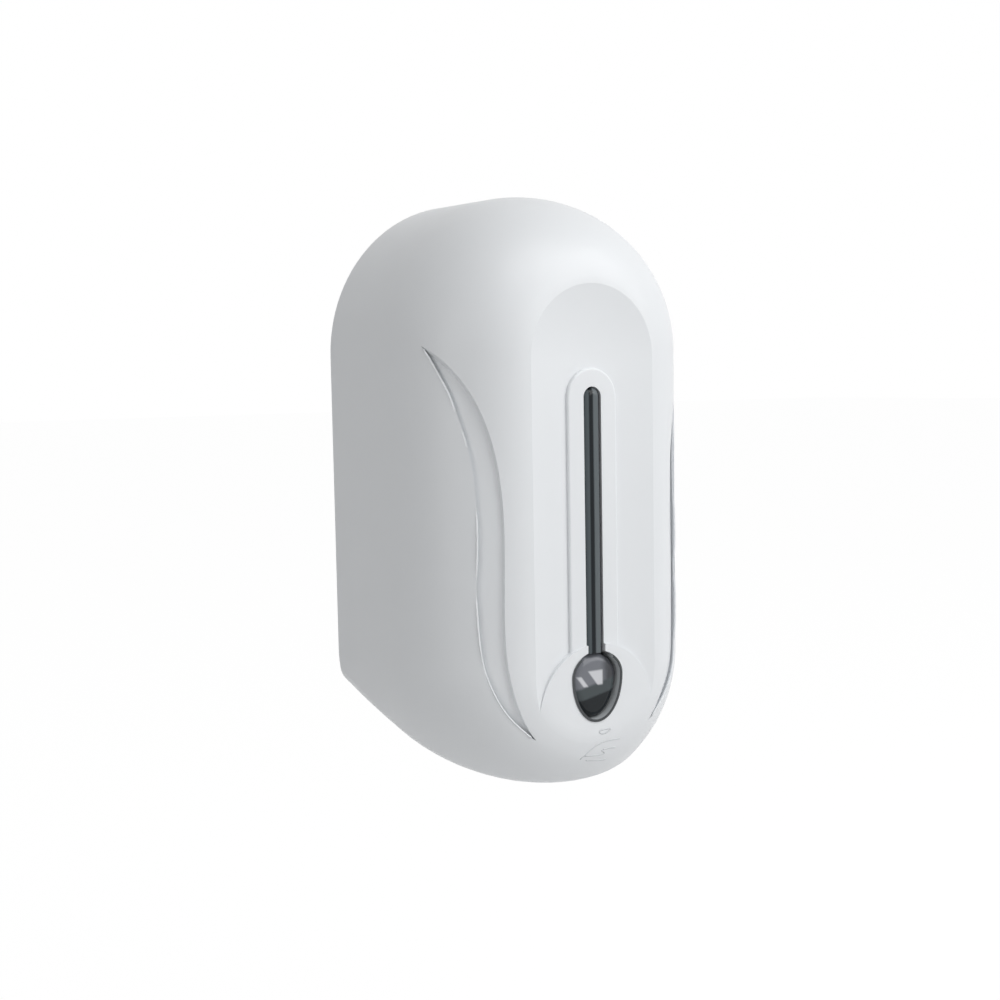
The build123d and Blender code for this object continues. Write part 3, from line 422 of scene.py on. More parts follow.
@dataclass(frozen=True)
class CellWrap:
    """Plain two-tone wrap of the cells, printed round them, with bare metal at both ends."""

    name: str
    colour: Colour
    band: Colour
    back: float
    front: float
    metal: Colour = (0.74, 0.74, 0.72)
    band_edge: Pair = (0.72, 0.73)
    front_edge: Pair = (0.985, 0.99)
    back_edge: Pair = (0.012, 0.008)

    def build(self) -> bpy.types.Material:
        """Makes the material."""
        graph = Graph.material(self.name)
        depth = graph.axis(Along.Y) * -1.0
        share = (depth - self.back) / (self.front - self.back)
        band = share.ramp(*self.band_edge)
        metal = share.ramp(*self.front_edge) + share.ramp(*self.back_edge)
        print_noise = graph.noise(0.6 * MM, 2.0)
        wrap = graph.blend(band, self.colour, self.band)
        worn = graph.blend(print_noise.ramp(0.62, 0.8) * 0.25, wrap, shade(self.colour, 1.6))
        return graph.surface(
            Base_Color=graph.blend(metal, worn, self.metal),
            Metallic=metal,
            Roughness=0.28 + print_noise * 0.1,
            Normal=graph.relief(metal, 0.1 * MM),
            Coat_Weight=0.3,
        )


@dataclass(frozen=True)
class SightRod:
    """Smoked half-round rod with a dark bore down its length, seen through its rounded face."""

    name: str
    half_width: float
    flank: Colour
    bore: Colour
    core: Colour
    bore_edge: Pair = (-0.58, -0.4)
    core_edge: Pair = (-0.12, 0.1)
    far_edge: Pair = (0.48, 0.72)
    far_tone: float = 1.5

    def build(self) -> bpy.types.Material:
        """Makes the material."""
        graph = Graph.material(self.name)
        drift = (graph.noise(30 * MM, 1.0, (1.0, 1.0, 0.3)) - 0.5) * 0.12
        share = graph.axis(Along.X) / self.half_width + drift
        left = graph.blend(share.ramp(*self.bore_edge), self.flank, self.bore)
        middle = graph.blend(share.ramp(*self.core_edge), left, self.core)
        whole = graph.blend(share.ramp(*self.far_edge), middle, shade(self.bore, self.far_tone))
        haze = graph.noise(3 * MM, 3.0)
        return graph.surface(
            Base_Color=whole,
            Roughness=0.1 + haze * 0.08,
            Normal=graph.relief(graph.noise(9 * MM, 2.0, (1.0, 1.0, 0.2)), 0.02 * MM),
            Specular_IOR_Level=0.2,
            Transmission_Weight=0.08,
        )


@dataclass(frozen=True)
class DomedLens:
    """Smoked lens with two painted window highlights, a painted dark reflection below a slanting edge and
    painted shade on its far side.

    The pairs are places on the lens, in metres from its middle, where one tone gives way to the next.
    """

    name: str
    middle: float
    upper: Colour
    # band and dark_reflection: a painted dark reflection over the lens's lower part, darkest at the bottom
    band: Colour
    dark_reflection: Colour
    # the colour of the two painted window highlights
    painted_highlight: Colour
    slant: float = 0.2
    highlight_lean: float = 0.77
    soft: float = 1.1 * MM
    # where painted shade darkens the lens's far side, next to the ring wall
    shaded_side: Pair = (3.5 * MM, 8.5 * MM)
    band_edge: Pair = (-2.6 * MM, -4.4 * MM)
    dark_reflection_edge: Pair = (-8.2 * MM, -9.6 * MM)
    wide_highlight_slant: Pair = (-1.6 * MM, 20.0 * MM)
    wide_reach: Pair = (-20.0 * MM, 3.2 * MM)
    wide_rows: Pair = (-3.6 * MM, 1.8 * MM)
    narrow_highlight_slant: Pair = (-9.2 * MM, -7.9 * MM)
    narrow_rows: Pair = (-3.8 * MM, -0.2 * MM)
    highlight_share: float = 0.8

    def build(self) -> bpy.types.Material:
        """Makes the material."""
        graph = Graph.material(self.name)
        across = graph.axis(Along.X)
        height = graph.axis(Along.Z) - self.middle
        rise = height - across * self.slant
        lean = across + height * self.highlight_lean
        swirl = graph.noise(5 * MM, 2.0)
        # painted shade darkens the far side of the lens
        body = graph.blend((across + swirl * 3 * MM).ramp(*self.shaded_side), self.upper, shade(self.upper, 0.3))
        # painted window highlights: a wide one and a narrow one, both slanting
        wide = lean.within(*self.wide_highlight_slant, self.soft) * across.within(*self.wide_reach, self.soft)
        wide = wide * height.within(*self.wide_rows, self.soft)
        narrow = lean.within(*self.narrow_highlight_slant, self.soft) * height.within(*self.narrow_rows, self.soft)
        # painted dark reflection: a dark band, then near black below a slanting edge
        band = graph.blend(rise.ramp(*self.band_edge), body, self.band)
        whole = graph.blend(rise.ramp(*self.dark_reflection_edge), band, self.dark_reflection)
        # lays the painted highlights over the lens colour
        highlighted = graph.blend((wide + narrow) * self.highlight_share, whole, self.painted_highlight)
        return graph.surface(
            Base_Color=highlighted,
            Roughness=0.05 + swirl * 0.03,
            Normal=graph.relief(swirl, 0.03 * MM),
            Specular_IOR_Level=0.3,
            Transmission_Weight=0.1,
            IOR=1.49,
        )


@dataclass(frozen=True)
class BezelRing:
    """Satin ring with painted shade of the gap round it on its front edge, and painted light that makes the
    wall inside paler.
    """

    name: str
    front: float
    # edge is painted shade of the gap round the ring; wall is made paler by painted light over the shade it
    # sits in
    edge: Colour
    wall: Colour
    gap_shade_depth: Pair = (0.1 * MM, 0.6 * MM)

    def build(self) -> bpy.types.Material:
        """Makes the material."""
        graph = Graph.material(self.name)
        behind = graph.axis(Along.Y) - self.front
        grain = graph.noise(0.7 * MM, 2.0)
        return graph.surface(
            # painted gap shade on the front edge, giving way to the wall made paler by painted light
            Base_Color=graph.blend(behind.ramp(*self.gap_shade_depth), self.edge, self.wall),
            Roughness=0.24 + grain * 0.12,
            Normal=graph.relief(grain, 0.01 * MM),
            Coat_Weight=0.2,
            Coat_Roughness=0.1,
        )


Finish = Union[
    MouldedPlastic, ClearPlastic, WorkedMetal, BoardLaminate, CellWrap, SightRod, DomedLens, BezelRing
]
FINISHES: dict[str, Finish] = {
    "shell_white": MouldedPlastic(
        "gloss_white_shell", (0.79, 0.81, 0.83), roughness=0.42, grain=1.6 * MM, grain_depth=0.004 * MM,
        clouds=0.012, handling=0.06, coat=0.05,
    ),
    "window_smoke": SightRod(
        "smoked_window", half_width=4.4 * MM, flank=(0.09, 0.11, 0.12), bore=(0.006, 0.010, 0.013),
        core=(0.13, 0.15, 0.16),
    ),
    # the bezel's dark edge is painted gap shade, and its paler wall is painted light
    "bezel_grey": BezelRing(
        "satin_bezel", front=-110.7 * MM, edge=(0.035, 0.04, 0.045), wall=(0.58, 0.61, 0.63)
    ),
    # the lens carries painted window highlights, a painted dark reflection below and painted shade on its far
    # side
    "lens_smoke": DomedLens(
        "smoked_lens", middle=-73.3 * MM, upper=(0.20, 0.21, 0.235), band=(0.065, 0.08, 0.085),
        dark_reflection=(0.004, 0.008, 0.011), painted_highlight=(0.80, 0.81, 0.84),
    ),
    "lock_metal": WorkedMetal("plated_lock", (0.70, 0.70, 0.69), roughness=0.2, lines=0.3 * MM),
    "chassis_plastic": MouldedPlastic(
        "chassis_grey", (0.62, 0.64, 0.66), roughness=0.45, grain_depth=0.03 * MM
    ),
    "dark_plastic": MouldedPlastic("charcoal_plastic", (0.045, 0.05, 0.055), roughness=0.42, clouds=0.08),
    "tank_plastic": ClearPlastic(
        "natural_tank", (0.86, 0.88, 0.87), 0.55, roughness=0.32, flow=18 * MM, flow_depth=0.15 * MM,
        cloudy=0.02,
    ),
    "cap_blue": MouldedPlastic("blue_cap", (0.03, 0.13, 0.42), roughness=0.34, clouds=0.05),
    "seal_rubber": MouldedPlastic("seal_rubber", (0.06, 0.06, 0.062), roughness=0.7, grain_depth=0.04 * MM),
    "gear_plastic": MouldedPlastic("gear_acetal", (0.74, 0.72, 0.66), roughness=0.36, clouds=0.02),
    "steel": WorkedMetal("zinc_steel", (0.60, 0.61, 0.62), roughness=0.3, along=Along.X),
    "motor_steel": WorkedMetal("motor_can", (0.55, 0.56, 0.57), roughness=0.34, along=Along.Y),
    "tube_clear": ClearPlastic("silicone_tube", (0.84, 0.86, 0.86), 0.6, roughness=0.25),
    "filter_dark": ClearPlastic("infrared_filter", (0.03, 0.006, 0.01), 0.2, roughness=0.07),
    "board_green": BoardLaminate("board_laminate", (0.012, 0.11, 0.045)),
    "component_black": MouldedPlastic(
        "component_epoxy", (0.022, 0.022, 0.024), roughness=0.5, grain=0.3 * MM
    ),
    "cell_wrap": CellWrap(
        "cell_wrap", (0.05, 0.06, 0.075), band=(0.55, 0.30, 0.12), back=25.0 * MM, front=75.0 * MM
    ),
    "contact_metal": WorkedMetal("contact_plate", (0.76, 0.75, 0.70), roughness=0.26, along=Along.Z),
    "led_white": ClearPlastic("diode_epoxy", (0.86, 0.88, 0.92), 0.5, roughness=0.1),
}


class Finishes:
    """Builds each finish once and gives it to CAD nodes and new pieces."""

    def __init__(self) -> None:
        """Starts with none built."""
        self.built: dict[str, bpy.types.Material] = {}

    def get(self, slot: str) -> bpy.types.Material:
        """The material of a slot."""
        if slot not in self.built:
            self.built[slot] = FINISHES[slot].build()
        return self.built[slot]

    def dress_nodes(self) -> None:
        """Gives every CAD node the finish of the slot that the record names for it."""
        for part in frame["record"]["subparts"]:
            node = frame["nodes"][part["node"]]
            node.data.materials.clear()
            node.data.materials.append(self.get(part["material_slot"]))
            LOG.info("node %s dressed as %s", part["node"], part["material_slot"])

    def dress(self, piece: bpy.types.Object, slot: str, body: str) -> bpy.types.Object:
        """Finishes a new piece.

        Args:
            piece: the piece, in place.
            slot: the record's material slot.
            body: the body it rides on.

        Returns:
            The piece.
        """
        piece.data.materials.clear()
        piece.data.materials.append(self.get(slot))
        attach(piece, body)
        LOG.info("piece %s on %s", piece.name, body)
        return piece


# ---- Workshop ----------------------------------------------------------------------------------------


def deselect() -> None:
    """Leaves nothing selected."""
    bpy.ops.object.select_all(action="DESELECT")


def settle(name: str, smooth: float = SMOOTH_ANGLE) -> bpy.types.Object:
    """Names the active piece, moves its place into its mesh and smooths its gentle edges.

    Args:
        name: the piece's name.
        smooth: edges flatter than this, in degrees, are shaded smooth.

    Returns:
        The piece.
    """
    piece = bpy.context.active_object
    piece.name = piece.data.name = name
    bpy.ops.object.transform_apply(location=True, rotation=True, scale=True)
    bpy.ops.object.shade_smooth_by_angle(angle=math.radians(smooth))
    return piece


def block(name: str, size: Point, centre: Point) -> bpy.types.Object:
    """A plain box of that size about centre, ready to be shaped."""
    deselect()
    bpy.ops.mesh.primitive_cube_add(size=1.0, location=centre, scale=size)
    return settle(name)


def disc(
    name: str, radius: float, length: float, centre: Point, along: Along, sides: int = 32
) -> bpy.types.Object:
    """Makes a plain cylinder, ready to be shaped.

    Args:
        name: the piece's name.
        radius: its radius.
        length: its length.
        centre: its middle.
        along: the axis that it lies along.
        sides: how many flat sides make it round.

    Returns:
        The piece.
    """
    turns = {Along.X: (0.0, math.pi / 2, 0.0), Along.Y: (math.pi / 2, 0.0, 0.0), Along.Z: (0.0, 0.0, 0.0)}
    deselect()
    bpy.ops.mesh.primitive_cylinder_add(
        vertices=sides, radius=radius, depth=length, location=centre, rotation=turns[along]
    )
    return settle(name)


def only(piece: bpy.types.Object) -> None:
    """Makes piece the one selected and active object."""
    deselect()
    piece.select_set(True)
    bpy.context.view_layer.objects.active = piece


def pick_faces(piece: bpy.types.Object, test: Callable[[bmesh.types.BMFace], bool]) -> None:
    """Selects, in edit mode, only the faces that pass the test."""
    mesh = bmesh.from_edit_mesh(piece.data)
    for face in mesh.faces:
        face.select_set(False)
    for face in mesh.faces:
        if test(face):
            face.select_set(True)
    mesh.select_flush_mode()
    bmesh.update_edit_mesh(piece.data)


def press(piece: bpy.types.Object, facing: Vector, rim: float, depth: float) -> bpy.types.Object:
    """Insets the face that looks along facing and moves its middle.

    Args:
        piece: the piece.
        facing: a unit vector along the face's normal.
        rim: width of the border left round it.
        depth: how far the middle moves along facing, negative for a recess.

    Returns:
        The piece.
    """
    only(piece)
    bpy.ops.object.mode_set(mode="EDIT")
    bpy.ops.mesh.select_mode(type="FACE")
    pick_faces(piece, lambda face: face.normal.dot(facing) > 0.99)
    bpy.ops.mesh.inset(thickness=rim, depth=0.0)
    bpy.ops.mesh.extrude_region_move(TRANSFORM_OT_translate={"value": facing * depth})
    bpy.ops.object.mode_set(mode="OBJECT")
    return piece


def ease(piece: bpy.types.Object, width: float, steps: int = 2) -> bpy.types.Object:
    """Rounds every sharp edge of the piece by width."""
    only(piece)
    round_off = piece.modifiers.new("round_off", "BEVEL")
    round_off.width, round_off.segments = width, steps
    round_off.limit_method, round_off.angle_limit = "ANGLE", math.radians(SHARP_ANGLE)
    bpy.ops.object.modifier_apply(modifier=round_off.name)
    bpy.ops.object.shade_smooth_by_angle(angle=math.radians(SMOOTH_ANGLE))
    return piece


def combine(piece: bpy.types.Object, tool: bpy.types.Object, operation: str) -> bpy.types.Object:
    """Joins the tool to the piece, or cuts it out, and deletes the tool.

    Args:
        piece: the piece that stays.
        tool: the shape to join or cut.
        operation: UNION or DIFFERENCE.

    Returns:
        The piece.
    """
    only(piece)
    cut = piece.modifiers.new("combine", "BOOLEAN")
    cut.operation, cut.object, cut.solver = operation, tool, "EXACT"
    bpy.ops.object.modifier_apply(modifier=cut.name)
    bpy.data.objects.remove(tool)
    return piece


def copies(piece: bpy.types.Object, places: Sequence[Matrix], name: str) -> list[bpy.types.Object]:
    """Puts a copy of the piece, with its own mesh, at each place, and deletes the first.

    Args:
        piece: a piece modelled about the origin.
        places: where the copies go.
        name: the copies' name, before their numbers.

    Returns:
        The copies.
    """
    made = []
    for number, place in enumerate(places, 1):
        copied = piece.copy()
        copied.data = piece.data.copy()
        bpy.context.scene.collection.objects.link(copied)
        copied.data.transform(place)
        copied.name = copied.data.name = f"{name}_{number}"
        made.append(copied)
    bpy.data.objects.remove(piece)
    return made


def tube(name: str, route: Sequence[Point], radius: float, closed: bool = False) -> bpy.types.Object:
    """A round tube on a smooth line.

    Args:
        name: the piece's name.
        route: the control points of its line.
        radius: the tube's radius.
        closed: whether the line returns to its start.

    Returns:
        The piece, as a mesh.
    """
    deselect()
    bpy.ops.curve.primitive_nurbs_path_add()
    line = bpy.context.active_object
    data = line.data
    data.splines.clear()
    spline = data.splines.new("NURBS")
    spline.points.add(len(route) - 1)
    for point, place in zip(spline.points, route):
        point.co = (*place, 1.0)
    spline.order_u = 3
    spline.use_endpoint_u = not closed
    spline.use_cyclic_u = closed
    data.dimensions = "3D"
    data.resolution_u = 6
    data.bevel_depth = radius
    data.bevel_resolution = 1
    data.use_fill_caps = not closed
    bpy.ops.object.convert(target="MESH")
    piece = settle(name, TUBE_ANGLE)
    bpy.ops.object.mode_set(mode="EDIT")
    bpy.ops.mesh.select_all(action="SELECT")
    bpy.ops.mesh.remove_doubles(threshold=1e-6)
    bpy.ops.mesh.normals_make_consistent(inside=False)
    bpy.ops.object.mode_set(mode="OBJECT")
    return piece


def aim(place: Point, facing: Point = (0.0, 0.0, 1.0), turn: float = 0.0) -> Matrix:
    """Places a shape whose own +Z points along facing, turned about it by turn degrees."""
    swing = Vector((0.0, 0.0, 1.0)).rotation_difference(Vector(facing)).to_matrix().to_4x4()
    return Matrix.Translation(Vector(place)) @ swing @ Matrix.Rotation(math.radians(turn), 4, "Z")


@dataclass(frozen=True)
class PanScrew:
    """A pan head screw with a cross recess, its head's seat at the origin and its top along +Z."""

    radius: float = 1.9 * MM
    height: float = 1.3 * MM
    recess: float = 0.5 * MM
    recess_depth: float = 0.7 * MM
    recess_share: float = 1.2
    round_share: float = 0.45

    def build(self) -> bpy.types.Object:
        """Models one screw."""
        head = disc("pan_screw", self.radius, self.height, (0, 0, self.height / 2), Along.Z, 24)
        ease(head, self.height * self.round_share, 3)
        reach = self.radius * self.recess_share
        for wide, tall in ((reach, self.recess), (self.recess, reach)):
            slot = block("recess", (wide, tall, 2 * self.recess_depth), (0, 0, self.height))
            combine(head, slot, "DIFFERENCE")
        return head


# ---- Trim of each sub-assembly -----------------------------------------------------------------------


@dataclass
class Trim:
    """Fine pieces of one sub-assembly."""

    finishes: Finishes

    def fit(self, pieces: Iterable[bpy.types.Object], slot: str, body: str) -> None:
        """Finishes the pieces and lets them ride on a body.

        Args:
            pieces: new pieces, in place.
            slot: the record's material slot.
            body: the body they ride on.
        """
        for piece in pieces:
            self.finishes.dress(piece, slot, body)


def corners(node: str) -> tuple[Vector, Vector]:
    """The lowest and highest corner of a solid's box at rest."""
    low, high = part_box(node)
    return Vector(low), Vector(high)


def cover_front(across: float, height: float) -> Vector | None:
    """The place on the cover's front at X and Z, or None off the cover."""
    cover = frame["nodes"]["front_cover"]
    hit, place, _, _ = cover.ray_cast(Vector((across, AHEAD, height)), TO_WALL)
    return place if hit else None


@dataclass
class CoverSign(Trim):
    """A plain open hand under a drop, raised on the cover's chin as fine beads in a darker grey that is painted
    shade of engraved strokes.

    The lines are in millimetres, across and up from the sign's middle.
    """

    middle: Pair = (4.0 * MM, -107.5 * MM)
    bead: float = 0.38 * MM
    sunk: float = 0.12 * MM
    back: Line = ((-11.5, -2.4), (-8.2, 0.6), (-5.3, 2.8), (-2.0, 4.1), (1.4, 4.7), (9.1, 4.3))
    fingers: Line = ((0.0, 0.5), (3.5, 0.9), (7.2, 0.2))
    thumb: Line = ((-9.6, -0.9), (-4.5, -1.7), (1.4, -2.0), (0.9, -0.6), (-0.8, 0.2))
    palm: Line = ((-8.2, -3.4), (-2.5, -4.6), (3.4, -5.0))
    drop: Line = ((-3.6, 9.3), (-2.0, 8.2), (0.6, 8.3), (3.9, 10.0), (0.2, 10.2), (-2.6, 10.0))

    def _on_cover(self, across: float, up: float) -> Point:
        """The middle of the bead at one place of the sign."""
        place = cover_front(self.middle[0] + across * MM, self.middle[1] + up * MM)
        return place.x, place.y + self.sunk, place.z

    def build(self) -> None:
        """Lays the beads."""
        lines = {
            "back": self.back, "fingers": self.fingers, "thumb": self.thumb, "palm": self.palm,
            "drop": self.drop,
        }
        for name, line in lines.items():
            route = [self._on_cover(*point) for point in line]
            bead = tube(f"sign_{name}", route, self.bead, closed=name == "drop")
            # the darker chassis grey is painted shade, standing for engraved strokes in the white plastic
            self.fit([bead], "chassis_plastic", "cover")


@dataclass
class CrescentLips(Trim):
    """A fine raised lip along the rear edge of each side crescent."""

    lowest: float = -96.5 * MM
    highest: float = 70.0 * MM
    count: int = 34
    inner: float = 28.0 * MM
    outer: float = 71.0 * MM
    stride: float = 0.04 * MM
    rise: float = 0.2 * MM
    bead: float = 0.5 * MM

    def _edge(self, height: float) -> Vector | None:
        """The place at a height where the left crescent's floor steps up to the cover's side."""
        across, last = self.inner, None
        while across < self.outer:
            place = cover_front(-across, height)
            if place is not None and last is not None and place.y < last.y - self.rise:
                return place
            last = place
            across += self.stride
        return None

    def build(self) -> None:
        """Lays one lip on each side."""
        spacing = (self.highest - self.lowest) / (self.count - 1)
        found = [self._edge(self.lowest + step * spacing) for step in range(self.count)]
        edge = [place for place in found if place is not None]
        inside = [(before + 2 * place + after) / 4 for before, place, after in zip(edge, edge[1:], edge[2:])]
        smooth = [edge[0], *inside, edge[-1]]
        LOG.info("crescent edge found at %d of %d heights", len(edge), self.count)
        for name, side in (("left", 1.0), ("right", -1.0)):
            route = [(place.x * side, place.y, place.z) for place in smooth]
            self.fit([tube(f"crescent_lip_{name}", route, self.bead)], "shell_white", "cover")


@dataclass
class CoverSkin(Trim):
    """The cover in one closed skin, whose shading runs true over the pole of its channel."""

    node: str = "front_cover"
    same_place: float = 1e-7
    keys_per_metre: float = 1e7
    true_share: float = 0.75

    def build(self) -> None:
        """Copies and merges the solid, then gives each corner a true normal."""
        solid = frame["nodes"][self.node]
        slopes = solid.data.corner_normals
        known = {}
        for face in solid.data.polygons:
            spots = [solid.data.vertices[vertex].co for vertex in face.vertices]
            normals = [slopes[loop].vector for loop in face.loop_indices]
            known[self._key(face.center)] = list(zip(spots, normals))
        skin = solid.copy()
        skin.data = solid.data.copy()
        skin.name = skin.data.name = "cover_skin"
        bpy.context.scene.collection.objects.link(skin)
        only(skin)
        bpy.ops.object.mode_set(mode="EDIT")
        bpy.ops.mesh.select_all(action="SELECT")
        bpy.ops.mesh.remove_doubles(threshold=self.same_place)
        bpy.ops.object.mode_set(mode="OBJECT")
        bpy.ops.object.shade_smooth()
        bent = [
            self._corner_slope(skin.data, face, corner, known)
            for face in skin.data.polygons
            for corner in range(3)
        ]
        skin.data.normals_split_custom_set(bent)
        self.fit([skin], "shell_white", "cover")
        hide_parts(self.node)

    def _key(self, place: Vector) -> tuple[int, ...]:
        """A face's centre in whole steps, to find the face again."""
        return tuple(round(value * self.keys_per_metre) for value in place)

    def _corner_slope(
        self, mesh: bpy.types.Mesh, face: bpy.types.MeshPolygon, corner: int, known: dict[tuple[int, ...], list]
    ) -> Vector:
        """The normal of one corner of the skin.

        Args:
            mesh: the skin's mesh.
            face: one of its faces.
            corner: which of the face's corners.
            known: places and normals of the solid's corners by face.

        Returns:
            The solid's normal there, or the face's own where that one strays from it.
        """
        place = mesh.vertices[face.vertices[corner]].co
        spots = known.get(self._key(face.center))
        if not spots:
            return face.normal
        slope = min(spots, key=lambda spot: (spot[0] - place).length)[1]
        return slope if slope.dot(face.normal) > self.true_share else face.normal


@dataclass
class TankTrim(Trim):
    """Level marks and a blank framed plate on the tank's front."""

    mark: Point = (9.0 * MM, 0.9 * MM, 1.1 * MM)
    mark_round: float = 0.3 * MM
    mark_across: float = -26.0 * MM
    half_across: float = -28.2 * MM
    first: float = 20.0 * MM
    pitch: float = 20.0 * MM
    count: int = 6
    plate: Point = (34.0 * MM, 1.2 * MM, 20.0 * MM)
    plate_middle: Pair = (12.0 * MM, 62.0 * MM)
    plate_frame: float = 1.2 * MM
    plate_depth: float = 0.5 * MM
    plate_round: float = 0.25 * MM

    def build(self) -> None:
        """Builds marks and plate."""
        self._marks("level_mark", self.mark[0], self.mark_across, 0.0, self.count)
        self._marks("half_mark", self.mark[0] / 2, self.half_across, 0.5, self.count - 1)
        front = corners("soap_tank")[0].y
        plate = block("tank_plate", self.plate, (self.plate_middle[0], front, self.plate_middle[1]))
        press(plate, -TO_WALL, self.plate_frame, -self.plate_depth)
        self.fit([ease(plate, self.plate_round)], "tank_plastic", "chassis")

    def _marks(self, name: str, width: float, across: float, shift: float, count: int) -> None:
        """Lays one column of marks up the tank's front.

        Args:
            name: the marks' name.
            width: each mark's width.
            across: the column's place along X.
            shift: where it starts over the first level, in pitches.
            count: how many marks it has.
        """
        low, _ = corners("soap_tank")
        mark = ease(block(name, (width, *self.mark[1:]), (0, 0, 0)), self.mark_round)
        rows = [low.z + self.first + (step + shift) * self.pitch for step in range(count)]
        places = [Matrix.Translation((across, low.y, row)) for row in rows]
        self.fit(copies(mark, places, name), "tank_plastic", "chassis")


@dataclass
class CapTrim(Trim):
    """A grip bar and two turn arrows on the filler cap."""

    bar: Point = (30.0 * MM, 7.0 * MM, 2.4 * MM)
    bar_lift: float = 0.2 * MM
    bar_rim: float = 1.4 * MM
    bar_dip: float = 0.7 * MM
    bar_round: float = 0.3 * MM
    arc_radius: float = 15.5 * MM
    arc_step: float = 15.0
    arc_points: int = 5
    bead: float = 0.7 * MM
    head_radius: float = 2.2 * MM
    head_height: float = 1.3 * MM
    head_turn: float = 2 * math.pi / 3

    def build(self) -> None:
        """Builds bar and arrows."""
        low, high = corners("filler_cap")
        middle = (low + high) / 2
        bar = block("cap_grip", self.bar, (middle.x, middle.y, high.z + self.bar_lift))
        press(bar, Vector((0, 0, 1)), self.bar_rim, -self.bar_dip)
        self.fit([ease(bar, self.bar_round)], "cap_blue", "cap")
        for name, start in (("left", 120.0), ("right", 300.0)):
            angles = [math.radians(start + step * self.arc_step) for step in range(self.arc_points)]
            spokes = [Vector((math.cos(angle), math.sin(angle), 0.0)) * self.arc_radius for angle in angles]
            route = [(middle.x + spoke.x, middle.y + spoke.y, high.z) for spoke in spokes]
            arrow = tube(f"turn_arrow_{name}", route, self.bead)
            head = disc("head", self.head_radius, self.head_height, (0, 0, 0), Along.Z, 3)
            head.data.transform(aim(route[-1], turn=math.degrees(angles[-1] + self.head_turn)))
            self.fit([combine(arrow, head, "UNION")], "cap_blue", "cap")


@dataclass
class PumpTrim(Trim):
    """Lid screws, the outlet's hose clip, the motor's end cap and tags, and the bracket's screws."""

    inset: float = 3.0 * MM
    lid_screw: PanScrew = PanScrew(radius=1.7 * MM, height=1.1 * MM, recess_depth=0.5 * MM)
    lid_turn: float = 20.0
    tube_radius: float = 2.5 * MM
    clip: float = 0.6 * MM
    clip_drop: float = 1.6 * MM
    lug: Point = (2.4 * MM, 2.2 * MM, 1.1 * MM)
    lug_reach: float = 1.4 * MM
    motor_step: float = 2.0 * MM
    end_radius: float = 8.9 * MM
    end_bore: float = 5.9 * MM
    end_height: float = 1.2 * MM
    end_lift: float = 0.5 * MM
    end_round: float = 0.25 * MM
    tag: Point = (0.6 * MM, 3.6 * MM, 2.6 * MM)
    tag_offset: float = 7.4 * MM
    tag_lift: float = 1.6 * MM
    tag_eye: float = 0.6 * MM
    tag_eye_lift: float = 0.8 * MM
    foot_inset: Pair = (2.4 * MM, 3.6 * MM)
    foot_height: float = 2.0 * MM
    foot_turn: float = 35.0

    def build(self) -> None:
        """Builds screws, clip, end cap and tags."""
        low, high = corners("pump_lid")
        across = (low.x + self.inset, high.x - self.inset)
        rows = (low.z + self.inset, high.z - self.inset)
        spots = [(x, low.y, z) for x in across for z in rows]
        heads = [aim(spot, (0, -1, 0), self.lid_turn * number) for number, spot in enumerate(spots)]
        self.fit(copies(self.lid_screw.build(), heads, "lid_screw"), "steel", "chassis")
        self._clip()
        self._motor_end()
        self._bracket_screws()

    def _clip(self) -> None:
        """The clip round the outlet tube under the pump."""
        height = corners("pump_housing")[0].z - self.clip_drop
        back = corners("outlet_tube")[1].y - self.tube_radius
        deselect()
        bpy.ops.mesh.primitive_torus_add(
            major_segments=32, minor_segments=8, major_radius=self.tube_radius + self.clip / 2,
            minor_radius=self.clip, location=(0, back, height),
        )
        ring = settle("hose_clip")
        lug = block("lug", self.lug, (self.tube_radius + self.lug_reach, back, height))
        self.fit([combine(ring, lug, "UNION")], "steel", "chassis")

    def _motor_end(self) -> None:
        """The moulded end cap and its two tags."""
        low, high = corners("motor")
        middle = (low + high) / 2
        face = low.y + self.motor_step
        seat = (middle.x, face - self.end_lift, middle.z)
        end = disc("motor_end", self.end_radius, self.end_height, seat, Along.Y, 48)
        hole = disc("hole", self.end_bore, 3 * self.end_height, seat, Along.Y, 48)
        combine(end, hole, "DIFFERENCE")
        self.fit([ease(end, self.end_round)], "dark_plastic", "chassis")
        tag = block("motor_tag", self.tag, (0, 0, 0))
        eye = disc("eye", self.tag_eye, 4 * self.tag[0], (0, -self.tag_eye_lift, 0), Along.X, 16)
        combine(tag, eye, "DIFFERENCE")
        sides = (middle.x - self.tag_offset, middle.x + self.tag_offset)
        places = [Matrix.Translation((x, face - self.tag_lift, middle.z)) for x in sides]
        self.fit(copies(tag, places, "motor_tag"), "contact_metal", "chassis")

    def _bracket_screws(self) -> None:
        """Two screws up through the bracket's foot."""
        low, high = corners("motor_bracket")
        across = (low.x + self.foot_inset[0], high.x - self.foot_inset[0])
        depth, under = low.y + self.foot_inset[1], high.z - self.foot_height
        places = [aim((x, depth, under), (0, 0, -1), self.foot_turn) for x in across]
        self.fit(copies(PanScrew().build(), places, "bracket_screw"), "steel", "chassis")


